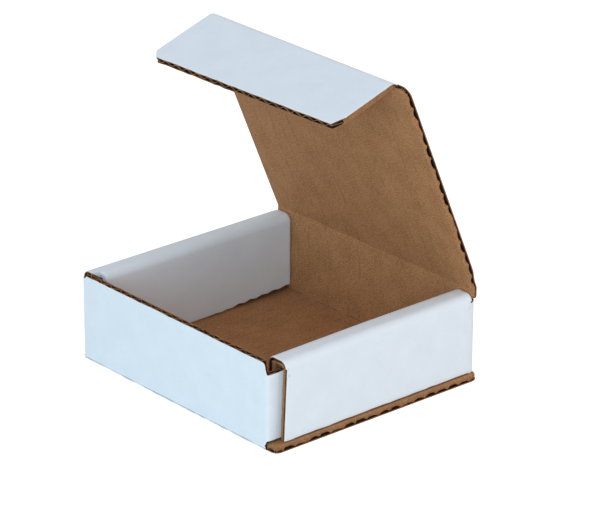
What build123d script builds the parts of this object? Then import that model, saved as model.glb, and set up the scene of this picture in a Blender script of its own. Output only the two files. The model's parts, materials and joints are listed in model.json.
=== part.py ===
from build123d import *
import os
from math import cos, radians, sin

# Corrugated mailer box, folded from one sheet of single-wall board.
# X runs from side to side, the front wall is at -Y, the hinge wall at +Y, and the base lies on Z = 0.
# The flutes run along the strip of tuck flap, lid, hinge wall, base and front wall,
# so they stand upright in every wall and are open at each edge that cuts across them.

# Board, in millimetres
board = 3.0
liner = 0.4
medium = 0.45
flute_pitch = 6.35
flute_depth = 12.0
# inner radius of the soft folds at the corners and in the rolled sides
fold_inner_radius = 0.4
# outer radius of the pressed folds along the base
base_fold_radius = 1.6
# outer radius of the pressed folds at the front wall's ends
front_fold_radius = 1.6
# air between layers that lie on each other, and between a corner flap and the looser inner panel
lay_gap = 0.2
inner_lay_gap = 1.4
# air under a panel that stands on the base
stand_gap = 0.3
# width that is crushed down along a raw edge parallel to the flutes
crush = 1.6

# Tray
inside_width = 99.2
inside_depth = 101.6
front_height = 37.0
# rise of the rolled sides over the front wall
roll_rise = 0.1
# strip of the base that shows outside each rolled side
ledge = 1.8
base_corner_radius = 3.0
# rounding of the front wall's top corners
left_corner_radius = 1.0
right_corner_radius = 3.5
roll_rear_gap = 0.4
# gap between the front wall and the left side, which reaches further forward than the right one
left_roll_gap = 0.4
# how far the ends of the lid's fold stay inside the outer faces of the sides, and their lower corners
hinge_end_setback = 1.2
hinge_end_radius = 2.0

# Corner flaps, tucked into the rolled sides
corner_flap_length = 30.0
corner_flap_drop = 4.9
corner_flap_lift = 1.2

# Lid
lid_overhang = 0.3
lid_rest_gap = 0.3
lid_front_radius = 4.0
lid_rear_radius = 2.0
# how far the lid's front ends stay behind the fold of the tuck flap
lid_shoulder = 0.1
lid_open_angle = 67.0
hinge_gap = 0.3

# Tuck flap, with its gaps to the sides, the front wall, the rolled sides and the base when the box is shut
tuck_side_gap = 0.6
tuck_wall_gap = 0.4
tuck_roll_gap = 0.5
tuck_foot_gap = 2.7
tuck_fold_angle = 85.0
tuck_hinge_gap = 0.6
# corners cut off its front edge, along its sides and across the edge
left_cut_along = 5.8
left_cut_across = 6.0
right_cut_along = 7.0
right_cut_across = 2.0

# Half widths of one open flute at its liner and at the medium, as shares of the flute pitch
mouth_share = 0.345
root_share = 0.118

# Places across the box, from the inside out
half_board = board / 2
fold_radius = board + fold_inner_radius
inner_panel_in = inside_width / 2
inner_panel_out = inner_panel_in + board
corner_flap_in = inner_panel_out + inner_lay_gap
corner_flap_out = corner_flap_in + board
outer_panel_in = corner_flap_out + lay_gap
outer_panel_out = outer_panel_in + board
roll_middle = (inner_panel_in + outer_panel_out) / 2
front_half_flat = corner_flap_out - front_fold_radius
hinge_half = outer_panel_out - hinge_end_setback
base_half_width = outer_panel_out + ledge

# Places along the box
wall_in = inside_depth / 2
wall_out = wall_in + board
wall_middle = wall_in + half_board
fold_start = wall_out - fold_radius
base_half_depth = wall_out - base_fold_radius
roll_front = tuck_wall_gap + board + tuck_roll_gap - wall_in
roll_rear = wall_in - roll_rear_gap
roll_length = roll_rear - roll_front
left_roll_reach = wall_in - left_roll_gap + roll_front
corner_flap_end = corner_flap_length - wall_in

# Heights
panel_foot = board + stand_gap
corner_flap_foot = board + corner_flap_lift
corner_flap_top = front_height - corner_flap_drop
roll_height = front_height + roll_rise
shoulder_height = roll_height - fold_radius
hinge_height = roll_height + lid_rest_gap + half_board

# Lid and tuck flap, measured from the axes of their folds
lid_width = 2 * (outer_panel_out + lid_overhang)
lid_start = half_board + hinge_gap
lid_length = wall_middle + wall_in - tuck_wall_gap - half_board
lid_side_end = lid_length - lid_shoulder
tuck_half = corner_flap_in - tuck_side_gap
tuck_start = half_board + tuck_hinge_gap
tuck_reach = hinge_height - board - tuck_foot_gap

# The lid and the tuck flap are drawn flat, each on a plane with its origin on the axis of its fold.
# The board runs towards -Y there, and its white face looks along Z.
lid_angle = radians(lid_open_angle)
tuck_angle = radians(lid_open_angle - tuck_fold_angle)
lid_plane = Plane(
    origin=(0, wall_middle, hinge_height),
    x_dir=(1, 0, 0),
    z_dir=(0, sin(lid_angle), cos(lid_angle)),
)
tuck_plane = Plane(
    origin=lid_plane.from_local_coords((0, -lid_length, 0)),
    x_dir=(1, 0, 0),
    z_dir=(0, sin(tuck_angle), cos(tuck_angle)),
)


def open_flutes(edge_plane, length):
    """Mouths of the flutes in a raw edge, where edge_plane has X along the edge and Z out of it."""
    at_liner = half_board - liner
    at_medium = at_liner - medium
    mouth = mouth_share * flute_pitch
    root = root_share * flute_pitch
    waves = int(length / flute_pitch)
    with BuildSketch(edge_plane) as mouths:
        for n in range(2 * waves):
            middle = (n - waves + 1 / 2) * flute_pitch / 2
            side = 1 if n % 2 else -1
            with BuildLine():
                Polyline(
                    (middle - mouth, side * at_liner),
                    (middle + mouth, side * at_liner),
                    (middle + root, -side * at_medium),
                    (middle - root, -side * at_medium),
                    close=True,
                )
            make_face()
    return mouths.sketch


with BuildPart() as tray:
    # base, with its raw sides crushed down outside the walls
    with BuildSketch(Plane.XY):
        RectangleRounded(2 * base_half_width, 2 * base_half_depth, base_corner_radius)
    extrude(amount=board)
    fillet(tray.faces().sort_by(Axis.Z)[-1].edges(), radius=crush)

    # base, front wall and hinge wall as one strip, folded up at both ends
    with BuildSketch(Plane.YZ) as strip:
        with Locations((0, front_height / 2)):
            Rectangle(2 * wall_out, front_height)
        fillet(strip.vertices().group_by(Axis.Y)[0], radius=base_fold_radius)
        with Locations((0, board + front_height / 2)):
            Rectangle(2 * wall_in, front_height, mode=Mode.SUBTRACT)
    extrude(amount=front_half_flat, both=True)

    # pressed folds at the front wall's ends
    with BuildSketch(Plane.XY.offset(base_fold_radius)) as front_folds:
        Rectangle(2 * corner_flap_out, 2 * wall_out)
        fillet(front_folds.vertices(), radius=front_fold_radius)
        RectangleRounded(2 * corner_flap_in, 2 * wall_in, fold_inner_radius, mode=Mode.SUBTRACT)
        with Locations((0, -(fold_start + wall_out) / 2)):
            Rectangle(2 * corner_flap_out, wall_out - fold_start, mode=Mode.INTERSECT)
    extrude(amount=front_height - base_fold_radius)

    # rounded ends of the front wall's top edge
    with BuildSketch(Plane.XZ.offset(fold_start)):
        for side, radius in ((-1, left_corner_radius), (1, right_corner_radius)):
            with Locations((side * corner_flap_out, front_height)):
                Rectangle(2 * radius, 2 * radius)
            with Locations((side * (corner_flap_out - radius), front_height - radius)):
                Circle(radius, mode=Mode.SUBTRACT)
    extrude(amount=fold_radius, mode=Mode.SUBTRACT)

    # corner flaps, lower than the wall and clear of the base
    with BuildSketch(Plane.XY.offset(corner_flap_foot)):
        for side in (-1, 1):
            with Locations((side * (corner_flap_in + half_board), (corner_flap_end - fold_start) / 2)):
                Rectangle(board, corner_flap_end + fold_start)
    extrude(amount=corner_flap_top - corner_flap_foot)

    # hinge wall, folded forward at both ends into the outer panels of the sides
    with BuildSketch(Plane.XY.offset(panel_foot)) as rear_plan:
        with Locations((0, (roll_front + wall_out) / 2)):
            Rectangle(2 * outer_panel_out, wall_out - roll_front)
        fillet(rear_plan.vertices().group_by(Axis.Y)[-1], radius=fold_radius)
        with Locations((0, roll_front)):
            RectangleRounded(
                2 * outer_panel_in, 2 * (wall_in - roll_front), fold_inner_radius, mode=Mode.SUBTRACT
            )
    extrude(amount=shoulder_height - panel_foot)

    # sides, rolled over the corner flaps and down to the base again
    with BuildSketch(Plane.XZ.offset(-roll_front)) as rolls:
        with Locations((-roll_middle, roll_height / 2), (roll_middle, roll_height / 2)):
            Rectangle(outer_panel_out - inner_panel_in, roll_height)
        fillet(rolls.vertices().group_by(Axis.Y)[-1], radius=fold_radius)
        with Locations((-roll_middle, -board), (roll_middle, -board)):
            RectangleRounded(
                outer_panel_in - inner_panel_out, 2 * roll_height, fold_inner_radius, mode=Mode.SUBTRACT
            )
        Rectangle(2 * base_half_width, 2 * panel_foot, mode=Mode.SUBTRACT)
    extrude(amount=-roll_length)

    # front end of the left side, clear of the tuck flap's path
    with BuildSketch(Plane.XZ.offset(-roll_front)) as left_end:
        with Locations((-roll_middle, roll_height / 2)):
            Rectangle(outer_panel_out - inner_panel_in, roll_height)
        fillet(left_end.vertices().group_by(Axis.Y)[-1], radius=fold_radius)
        with Locations((-(tuck_half + tuck_side_gap + outer_panel_in) / 2, -board)):
            Rectangle(outer_panel_in - tuck_half - tuck_side_gap, 2 * roll_height, mode=Mode.SUBTRACT)
        Rectangle(2 * (tuck_half + tuck_side_gap), 2 * roll_height, mode=Mode.SUBTRACT)
        Rectangle(2 * base_half_width, 2 * panel_foot, mode=Mode.SUBTRACT)
    extrude(amount=left_roll_reach)

    # hinge wall above the shoulders of the sides, up to the fold of the lid
    with BuildSketch(Plane.XZ.offset(-wall_out)) as hinge_end:
        with Locations((0, (shoulder_height + hinge_height) / 2)):
            Rectangle(2 * hinge_half, hinge_height - shoulder_height)
        fillet(hinge_end.vertices().group_by(Axis.Y)[0], radius=hinge_end_radius)
    extrude(amount=board)

    # round nose on the axis of that fold
    with BuildSketch(Plane.YZ):
        with Locations((wall_middle, hinge_height)):
            Circle(half_board)
    extrude(amount=hinge_half, both=True)

    # open flutes along the raw edges
    front_edge = Plane((0, -wall_middle, front_height), x_dir=(1, 0, 0), z_dir=(0, 0, 1))
    front_flutes = open_flutes(front_edge, 2 * (corner_flap_out - right_corner_radius))
    extrude(front_flutes, amount=-flute_depth, mode=Mode.SUBTRACT)
    for side in (-1, 1):
        flap_middle = (side * (corner_flap_in + half_board), (corner_flap_end - fold_start) / 2)
        for height, up in ((corner_flap_top, 1), (corner_flap_foot, -1)):
            flap_edge = Plane((*flap_middle, height), x_dir=(0, 1, 0), z_dir=(0, 0, up))
            flap_flutes = open_flutes(flap_edge, corner_flap_end + fold_start)
            extrude(flap_flutes, amount=-flute_depth, mode=Mode.SUBTRACT)
        for panel in (inner_panel_in, outer_panel_in):
            panel_middle = (side * (panel + half_board), (roll_front + roll_rear) / 2)
            panel_edge = Plane((*panel_middle, panel_foot), x_dir=(0, 1, 0), z_dir=(0, 0, -1))
            panel_flutes = open_flutes(panel_edge, roll_length)
            extrude(panel_flutes, amount=-flute_depth, mode=Mode.SUBTRACT)

with BuildPart() as lid:
    # whole panel, with its raw edges crushed down on the kraft side
    with BuildSketch(lid_plane) as lid_outline:
        with Locations((0, -(lid_start + lid_side_end) / 2)):
            Rectangle(lid_width, lid_side_end - lid_start)
        fillet(lid_outline.vertices().group_by(Axis.Y)[-1], radius=lid_rear_radius)
        fillet(lid_outline.vertices().group_by(Axis.Y)[0], radius=lid_front_radius)
    extrude(amount=half_board, both=True)
    fillet(lid.faces().sort_by(Axis(lid_plane.origin, lid_plane.z_dir))[0].edges(), radius=crush)

    # middle of the panel, up to the fold of the tuck flap, with a round nose on the fold's axis
    with BuildSketch(lid_plane):
        with Locations((0, -(lid_start + lid_length) / 2)):
            Rectangle(2 * tuck_half, lid_length - lid_start)
    extrude(amount=half_board, both=True)
    with Locations(tuck_plane.location):
        Cylinder(half_board, 2 * tuck_half, rotation=(0, 90, 0))

with BuildPart() as tuck_flap:
    with BuildSketch(tuck_plane):
        with BuildLine():
            Polyline(
                (-tuck_half, -tuck_start),
                (tuck_half, -tuck_start),
                (tuck_half, right_cut_along - tuck_reach),
                (tuck_half - right_cut_across, -tuck_reach),
                (left_cut_across - tuck_half, -tuck_reach),
                (-tuck_half, left_cut_along - tuck_reach),
                close=True,
            )
        make_face()
    extrude(amount=half_board, both=True)

    # open flutes along the front edge
    tuck_edge = Plane(
        origin=tuck_plane.from_local_coords((0, -tuck_reach, 0)),
        x_dir=(1, 0, 0),
        z_dir=-tuck_plane.y_dir,
    )
    tuck_flutes = open_flutes(tuck_edge, 2 * (tuck_half - left_cut_across))
    extrude(tuck_flutes, amount=-flute_depth, mode=Mode.SUBTRACT)

os.makedirs("parts", exist_ok=True)
tray.part.label = "tray"
export_step(tray.part, "parts/tray.step")
lid.part.label = "lid"
export_step(lid.part, "parts/lid.step")
tuck_flap.part.label = "tuck_flap"
export_step(tuck_flap.part, "parts/tuck_flap.step")
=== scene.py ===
import json
import logging
import math
from bisect import bisect_right
from dataclasses import dataclass
from enum import Enum
from itertools import accumulate, pairwise
from typing import Sequence

import bmesh
import bpy
from mathutils import Matrix, Vector, noise


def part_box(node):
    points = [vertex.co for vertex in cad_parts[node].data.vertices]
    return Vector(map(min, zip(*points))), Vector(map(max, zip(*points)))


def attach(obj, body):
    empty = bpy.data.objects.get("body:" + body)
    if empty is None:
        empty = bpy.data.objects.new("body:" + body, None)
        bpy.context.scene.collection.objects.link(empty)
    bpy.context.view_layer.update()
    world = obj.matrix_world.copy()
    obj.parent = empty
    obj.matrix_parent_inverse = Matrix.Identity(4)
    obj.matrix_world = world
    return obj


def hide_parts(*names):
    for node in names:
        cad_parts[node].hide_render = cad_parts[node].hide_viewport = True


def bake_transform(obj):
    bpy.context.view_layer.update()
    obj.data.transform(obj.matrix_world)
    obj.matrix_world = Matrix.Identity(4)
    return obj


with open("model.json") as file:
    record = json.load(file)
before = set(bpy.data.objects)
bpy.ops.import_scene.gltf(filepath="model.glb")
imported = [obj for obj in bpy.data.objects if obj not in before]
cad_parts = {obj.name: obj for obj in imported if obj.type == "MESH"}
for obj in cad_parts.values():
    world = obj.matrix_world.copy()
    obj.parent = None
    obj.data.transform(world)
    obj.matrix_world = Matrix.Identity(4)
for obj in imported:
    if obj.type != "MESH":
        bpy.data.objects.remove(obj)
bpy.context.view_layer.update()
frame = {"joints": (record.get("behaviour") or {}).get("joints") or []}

# A corrugated mailer box, folded from one sheet of single-wall board: white outside, kraft inside.
# Each panel is drawn on the flat blank, ply by ply, and then folded to its place.
# On the blank, "across" runs across the flutes and "along" runs along them.

log = logging.getLogger("mailer_box")

Point = tuple[float, float]

# Rows of the noise that are kept for the rags in the pockets and for the pinched liners.
GRIT_ROW = 9
PINCH_ROW = Vector((5, 5, 5))


# The board


class Ply(Enum):
    """The three papers of the board, from the inside of the box out."""

    KRAFT = "kraft liner"
    MEDIUM = "fluted medium"
    WHITE = "white liner"


class Rim(Enum):
    """The four sides of a panel on the flat blank."""

    LEFT = "low end across the flutes"
    RIGHT = "high end across the flutes"
    NEAR = "low end along the flutes"
    FAR = "high end along the flutes"


class Face(Enum):
    """The three papers that show, in the order of a piece's material slots."""

    WHITE = 0
    KRAFT = 1
    RAW = 2


class Seed(Enum):
    """Numbers that make the ragged edges of one piece differ from another's."""

    LEFT_SIDE = 0.9
    BASE = 2.3
    RIGHT_SIDE = 2.9
    BASE_CREASE = 3.0
    FRONT_WALL = 4.1
    TUCK_FLAP = 5.7
    HINGE_WALL = 6.2
    HINGE_STRIP = 7.7
    LID = 8.4


@dataclass(frozen=True)
class Board:
    """Single-wall board and the way that a die leaves its raw edges.

    Attributes:
        thickness: Thickness over all three papers, in metres, as all lengths here.
        liner: Thickness of a liner.
        medium: Thickness of the fluted medium's paper.
        flute_pitch: Distance from one flute to the next.
        flute_steps: Number of points over a flute of the medium.
        wall_steps: Number of points over a flute in the liners of a wall.
        panel_step: Distance between the points of a plain liner.
        pocket_step: Distance between the points of a liner that is crushed over an edge.
        pocket_pitch: Distance between the ragged gaps under a crushed liner.
        pocket_power: Power that a pocket's round shape is raised to: the lower, the squarer.
        pocket_depth: How far a pocket opens at the least.
        pocket_change: How much more or less one pocket opens than another.
        pocket_spread: Length over which the pockets change, in pockets.
        grit: How far small rags close or open a pocket.
        grit_rate: Number of these rags over a pocket.
        lip_steps: Number of rows of points across a raw edge.
        lip_crowding: Power that crowds these rows towards the edge.
        lip_margin: Width that is kept free of other points, in widths of the raw edge.
        cut_zone: Width of the board that an open edge changes.
        cut_waviness: How unevenly the papers end in an open edge.
        cut_rate: Number of these waves over a flute.
        cut_shift: Distance between the wave patterns of two papers.
        cut_pinch: How far a liner pinches in at an open edge.
        cut_squeeze: How much lower the flutes are there.
        lit_depth: Depths inside a raw edge at which its painted shade starts and at which it is full.
        sharp_angle: Angle between two faces from which their edge is sharp, in radians.
    """

    thickness: float
    liner: float = 0.00034
    medium: float = 0.00028
    flute_pitch: float = 0.00635
    flute_steps: int = 8
    wall_steps: int = 4
    panel_step: float = 0.0032
    pocket_step: float = 0.00078
    pocket_pitch: float = 0.0061
    pocket_power: float = 0.6
    pocket_depth: float = 0.85
    pocket_change: float = 0.9
    pocket_spread: float = 1.4
    grit: float = 0.12
    grit_rate: float = 4.0
    lip_steps: int = 8
    lip_crowding: float = 1.4
    lip_margin: float = 1.2
    cut_zone: float = 0.0022
    cut_waviness: float = 0.0003
    cut_rate: float = 1.7
    cut_shift: float = 3.1
    cut_pinch: float = 0.00022
    cut_squeeze: float = 0.3
    lit_depth: Point = (0.00008, 0.0008)
    sharp_angle: float = math.radians(40)

    @property
    def half(self) -> float:
        """Half of the board's thickness."""
        return self.thickness / 2

    @property
    def flute_height(self) -> float:
        """How far the medium's middle swings to each side of the board's middle."""
        return (self.thickness - 2 * self.liner - self.medium) / 2

    def depths(self, ply: Ply, across: float) -> Point:
        """Distances of a ply's two faces from the board's kraft face.

        Args:
            ply: The ply.
            across: Place across the flutes.

        Returns:
            The depth of the ply's face on the kraft side, and of that on the white side.
        """
        if ply is Ply.KRAFT:
            return 0.0, self.liner
        if ply is Ply.WHITE:
            return self.thickness - self.liner, self.thickness
        middle = self.half + self.flute_height * math.cos(math.tau * across / self.flute_pitch)
        return middle - self.medium / 2, middle + self.medium / 2

    def pocket(self, place: float, seed: float) -> float:
        """How far the ragged gap under a crushed liner is open.

        Args:
            place: Place along the edge.
            seed: Number that makes one edge differ from another.

        Returns:
            0 where the liner is pinched shut, up to 1 in the middle of a pocket.
        """
        wave = abs(math.sin(math.pi * place / self.pocket_pitch + seed))
        rough = noise.noise(Vector((place / self.pocket_pitch / self.pocket_spread, seed, 0)))
        fine = noise.noise(Vector((place / self.pocket_pitch * self.grit_rate, seed, GRIT_ROW)))
        opening = wave**self.pocket_power * (self.pocket_depth + self.pocket_change * rough)
        return min(max(opening + self.grit * fine, 0.0), 1.0)


@dataclass(frozen=True)
class Lip:
    """How the die leaves an edge that it crushes: the kraft liner curls over it towards the white liner.

    Attributes:
        radius: Radius of the curl.
        least: Gap that is left under the curl where it is pinched.
        most: Gap in the middle of a pocket.
        recess: How far the curl stands back from the white liner's edge, in the middle of a pocket.
        recess_share: Share of that where it is pinched.
        recess_power: Power that brings the curl back slowly.
        medium_share: How far the medium stands back, as a share of the radius.
        shade: How dark the crushed liner is, from 0 to 1.
    """

    radius: float = 0.0011
    least: float = 0.0003
    most: float = 0.0013
    recess: float = 0.0004
    recess_share: float = 0.55
    recess_power: float = 1.5
    medium_share: float = 0.45
    shade: float = 0.15


# Folds


class FacePath:
    """The line of one face of the board through its folds: straights, with an arc at each inner point."""

    def __init__(self, points: Sequence[Point], radius: float = 0.0) -> None:
        """Works out the straights and the arcs.

        Args:
            points: The face's corners, as if it were folded sharply, in the plane of the path.
            radius: Radius of each fold.
        """
        corners = [Vector(point) for point in points]
        self._straights: list[tuple[Vector, Vector]] = []
        self._arcs: list[tuple[Vector, Vector, float]] = []
        start = corners[0]
        for before, corner, after in zip(corners, corners[1:], corners[2:]):
            arriving = (corner - before).normalized()
            leaving = (after - corner).normalized()
            turn = math.atan2(arriving.x * leaving.y - arriving.y * leaving.x, arriving.dot(leaving))
            reach = radius * math.tan(abs(turn) / 2)
            centre = corner + (leaving - arriving).normalized() * radius / math.cos(turn / 2)
            end = corner - arriving * reach
            self._straights.append((start, end))
            self._arcs.append((centre, end - centre, turn))
            start = corner + leaving * reach
        self._straights.append((start, corners[-1]))

    @property
    def lengths(self) -> list[float]:
        """Length of each section.

        Returns:
            The lengths: straights at even places and arcs at odd ones.
        """
        found = [(end - start).length for start, end in self._straights]
        for place, (_, spoke, turn) in enumerate(self._arcs):
            found.insert(2 * place + 1, spoke.length * abs(turn))
        return found

    def at(self, section: int, share: float) -> Vector:
        """A point of the face.

        Args:
            section: Index of the section, straights at even places and arcs at odd ones.
            share: Share of the section before the point.

        Returns:
            The point, in the plane of the path.
        """
        if section % 2 == 0:
            start, end = self._straights[section // 2]
            return start.lerp(end, share)
        centre, spoke, turn = self._arcs[section // 2]
        return centre + Matrix.Rotation(turn * share, 2) @ spoke


class BoardPath:
    """The board's section through its folds, between its kraft face and its white face."""

    def __init__(self, kraft: FacePath, white: FacePath, first: float | None = None) -> None:
        """Measures the path halfway between the two faces.

        Args:
            kraft: The kraft face.
            white: The white face, with as many folds.
            first: Place on the blank at the path's start, or None to put 0 at its middle.
        """
        self._kraft, self._white = kraft, white
        lengths = [(a + b) / 2 for a, b in zip(kraft.lengths, white.lengths)]
        start = -sum(lengths) / 2 if first is None else first
        self.marks = list(accumulate(lengths, initial=start))

    def at(self, place: float, share: float) -> Vector:
        """A point in the board.

        Args:
            place: Place on the blank, along the path.
            share: 0 on the kraft face, 1 on the white face.

        Returns:
            The point, in the plane of the path.
        """
        section = min(max(bisect_right(self.marks, place) - 1, 0), len(self.marks) - 2)
        start, end = self.marks[section : section + 2]
        part = (place - start) / (end - start)
        return self._kraft.at(section, part).lerp(self._white.at(section, part), share)

    def fold_share(self, place: float) -> float:
        """Measures how near a place is to the middle of a fold.

        Args:
            place: Place on the blank, along the path.

        Returns:
            1 in the middle of a fold, 0 outside the folds.
        """
        for start, end in zip(self.marks[1::2], self.marks[2::2]):
            if start <= place <= end:
                return math.sin(math.pi * (place - start) / (end - start))
        return 0.0

    def samples(self, step: float, fold_steps: int = 8) -> list[float]:
        """Places along the path, close together in its folds.

        Args:
            step: Largest distance between two places on a straight.
            fold_steps: Number of steps over a fold.

        Returns:
            The places, from the path's start to its end.
        """
        found: list[float] = []
        for section, (start, end) in enumerate(pairwise(self.marks)):
            count = fold_steps if section % 2 else max(math.ceil((end - start) / step), 1)
            found += [start + (end - start) * n / count for n in range(count)]
        return found + [self.marks[-1]]


def smooth(share: float) -> float:
    """Eases a share from 0 to 1, level at both ends."""
    share = min(max(share, 0.0), 1.0)
    return share * share * (3 - 2 * share)


def flat_samples(low: float, high: float, step: float) -> list[float]:
    """Evenly spaced places from low to high, about a step apart."""
    count = max(math.ceil((high - low) / step), 1)
    return [low + (high - low) * n / count for n in range(count + 1)]


# Panels, ply by ply


@dataclass
class Panel:
    """A panel of the blank, built ply by ply and folded to its place.

    Attributes:
        name: Name of the piece.
        board: The board that it is cut from.
        low: Its lowest corner on the blank, across and along the flutes.
        high: Its highest corner on the blank.
        lips: Sides where the die has crushed the kraft liner down over the edge.
        cuts: Sides where the flutes lie open.
        near_radius: Radius of its corners on the near side.
        far_radius: Radius of its corners on the far side.
        seed: Number that makes its ragged edges differ from another panel's.
        lip: Shape of its crushed edges.
        back_lip: Shape of those where the white liner curls.
        seam_zone: Width of the board that is drawn in with a side.
        breaks: Places across the flutes where a side steps, so that it has points there.
    """

    name: str
    board: Board
    low: Point
    high: Point
    lips: frozenset[Rim] = frozenset()
    cuts: frozenset[Rim] = frozenset()
    near_radius: float = 0.0
    far_radius: float = 0.0
    seed: float = 0.0
    lip: Lip = Lip()
    back_lip: Lip = Lip(least=0.0, most=0.0, recess=0.0)
    seam_zone: float = 0.007
    breaks: tuple[float, ...] = ()

    def place(self, across: float, along: float, share: float) -> Vector:
        """Folds a point of the blank to its place in the box.

        Args:
            across: Place across the flutes.
            along: Place along the flutes.
            share: 0 on the kraft face, 1 on the white face.

        Returns:
            The point, in the frame of the box.
        """
        raise NotImplementedError

    def crease(self, across: float, along: float) -> float:
        """How near a point of the blank is to the middle of a fold, from 0 to 1."""
        return 0.0

    def joined(self, rim: Rim, across: float, along: float) -> bool:
        """Whether one of the panel's sides runs on into a fold at a point, and so isn't raw there."""
        return False

    def inset(self, rim: Rim, across: float, along: float, share: float) -> float:
        """How far one of the panel's sides lies inside its corners at a point."""
        return 0.0

    def curls_back(self, across: float, along: float) -> bool:
        """Whether the white liner curls over the edge at a point, instead of the kraft liner."""
        return False

    def torn(self, ply: Ply, across: float) -> float:
        """How far a ply is torn off below an open edge."""
        return 0.0

    def pressed(self, across: float, along: float) -> float:
        """Painted shade in a fold that is pressed into an inner corner, from 0 to 1."""
        return 0.0

    def columns(self, ply: Ply) -> list[float]:
        """Places across the flutes where a ply has points.

        Args:
            ply: The ply.

        Returns:
            The places, from low to high.
        """
        if ply is Ply.MEDIUM:
            step = self.board.flute_pitch / self.board.flute_steps
        else:
            step = self._liner_step(ply, Rim.NEAR, Rim.FAR)
        places = self._with_lips(flat_samples(self.low[0], self.high[0], step), Rim.LEFT, Rim.RIGHT)
        return self._with_breaks(places)

    def _with_breaks(self, places: list[float]) -> list[float]:
        """Adds points on both sides of the places where a side steps."""
        shift = self.board.medium / 3
        return sorted({*places, *(edge + side * shift for edge in self.breaks for side in (-1, 1))})

    def rows(self, ply: Ply) -> list[float]:
        """Places along the flutes where a ply has points, from low to high."""
        step = self._liner_step(ply, Rim.LEFT, Rim.RIGHT)
        return self._with_lips(flat_samples(self.low[1], self.high[1], step), Rim.NEAR, Rim.FAR)

    def _liner_step(self, ply: Ply, *rims: Rim) -> float:
        """Distance between a ply's points, which is shorter along the sides where it is crushed."""
        crushed = ply is Ply.KRAFT and bool(self.lips & set(rims))
        return self.board.pocket_step if crushed else self.board.panel_step

    def _with_lips(self, places: list[float], first: Rim, last: Rim) -> list[float]:
        """Adds places near the raw edges, closer together towards the edge.

        Args:
            places: Places from low to high.
            first: The side at the low end.
            last: The side at the high end.

        Returns:
            The places, with new ones in place of those near a raw edge.
        """
        board = self.board
        low, high = places[0], places[-1]
        edges = self.lips | self.cuts
        reach = max(self.lip.radius, board.cut_zone)
        free = reach * board.lip_margin
        offsets = [reach * (n / board.lip_steps) ** board.lip_crowding for n in range(board.lip_steps + 1)]
        if first in edges:
            places = [low + offset for offset in offsets] + [p for p in places if p > low + free]
        if last in edges:
            places = [p for p in places if p < high - free] + [high - offset for offset in offsets[::-1]]
        return places

    def _rounded(self, across: float, along: float) -> Point:
        """Rounds the panel's corners: a square at each corner becomes a quarter of a disc.

        Args:
            across: Place across the flutes.
            along: Place along the flutes.

        Returns:
            The place that the point moves to.
        """
        radius = self.near_radius if along < (self.low[1] + self.high[1]) / 2 else self.far_radius
        if not radius:
            return across, along
        centres = [
            (low + radius if place < (low + high) / 2 else high - radius)
            for place, low, high in zip((across, along), self.low, self.high)
        ]
        u, v = (across - centres[0]) / radius, (along - centres[1]) / radius
        if u * (1 if centres[0] > (self.low[0] + self.high[0]) / 2 else -1) <= 0:
            return across, along
        if v * (1 if centres[1] > (self.low[1] + self.high[1]) / 2 else -1) <= 0:
            return across, along
        return (
            centres[0] + radius * u * math.sqrt(1 - v * v / 2),
            centres[1] + radius * v * math.sqrt(1 - u * u / 2),
        )

    def _nearest_lip(self, across: float, along: float) -> tuple[float, Vector]:
        """Finds the lip nearest to a point of the panel.

        Args:
            across: Place across the flutes.
            along: Place along the flutes.

        Returns:
            The distance to the edge, infinite where no side is raw, and the direction out of it.
        """
        radius = self.near_radius if along < (self.low[1] + self.high[1]) / 2 else self.far_radius
        gaps = {
            Rim.LEFT: (across - self.low[0], Vector((-1, 0))),
            Rim.RIGHT: (self.high[0] - across, Vector((1, 0))),
            Rim.NEAR: (along - self.low[1], Vector((0, -1))),
            Rim.FAR: (self.high[1] - along, Vector((0, 1))),
        }
        found = [
            (gap, out)
            for rim, (gap, out) in gaps.items()
            if rim in self.lips and not self.joined(rim, across, along)
        ]
        if not found:
            return math.inf, Vector((0, 0))
        corner = [(gap, out) for gap, out in found if gap < radius]
        if len(corner) == 2:
            spoke = sum((out * (radius - gap) for gap, out in corner), Vector((0, 0)))
            if spoke.length > 0:
                return radius - spoke.length, spoke.normalized()
        return min(found, key=lambda item: item[0])

    def _lipped(self, ply: Ply, across: float, along: float, depth: float) -> tuple[float, float, float]:
        """Crushes the panel along its lips: one liner curls over the edge towards the other.

        Args:
            ply: The ply of the point.
            across: Place across the flutes.
            along: Place along the flutes.
            depth: Distance from the kraft face.

        Returns:
            The new place across and along the flutes, and the new depth.
        """
        gap, out = self._nearest_lip(across, along)
        back = self.curls_back(across, along)
        lip = self.back_lip if back else self.lip
        if gap >= lip.radius:
            return across, along, depth
        if back:
            ply = {Ply.KRAFT: Ply.WHITE, Ply.WHITE: Ply.KRAFT}.get(ply, ply)
            depth = self.board.thickness - depth
        rim = Vector((across, along)) + out * gap
        place = rim.x * abs(out.y) + rim.y * abs(out.x)
        inward, depth = self._curl(lip, ply, max(gap, 0.0), depth, place, out.x)
        rim = rim - out * inward
        return rim.x, rim.y, self.board.thickness - depth if back else depth

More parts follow.
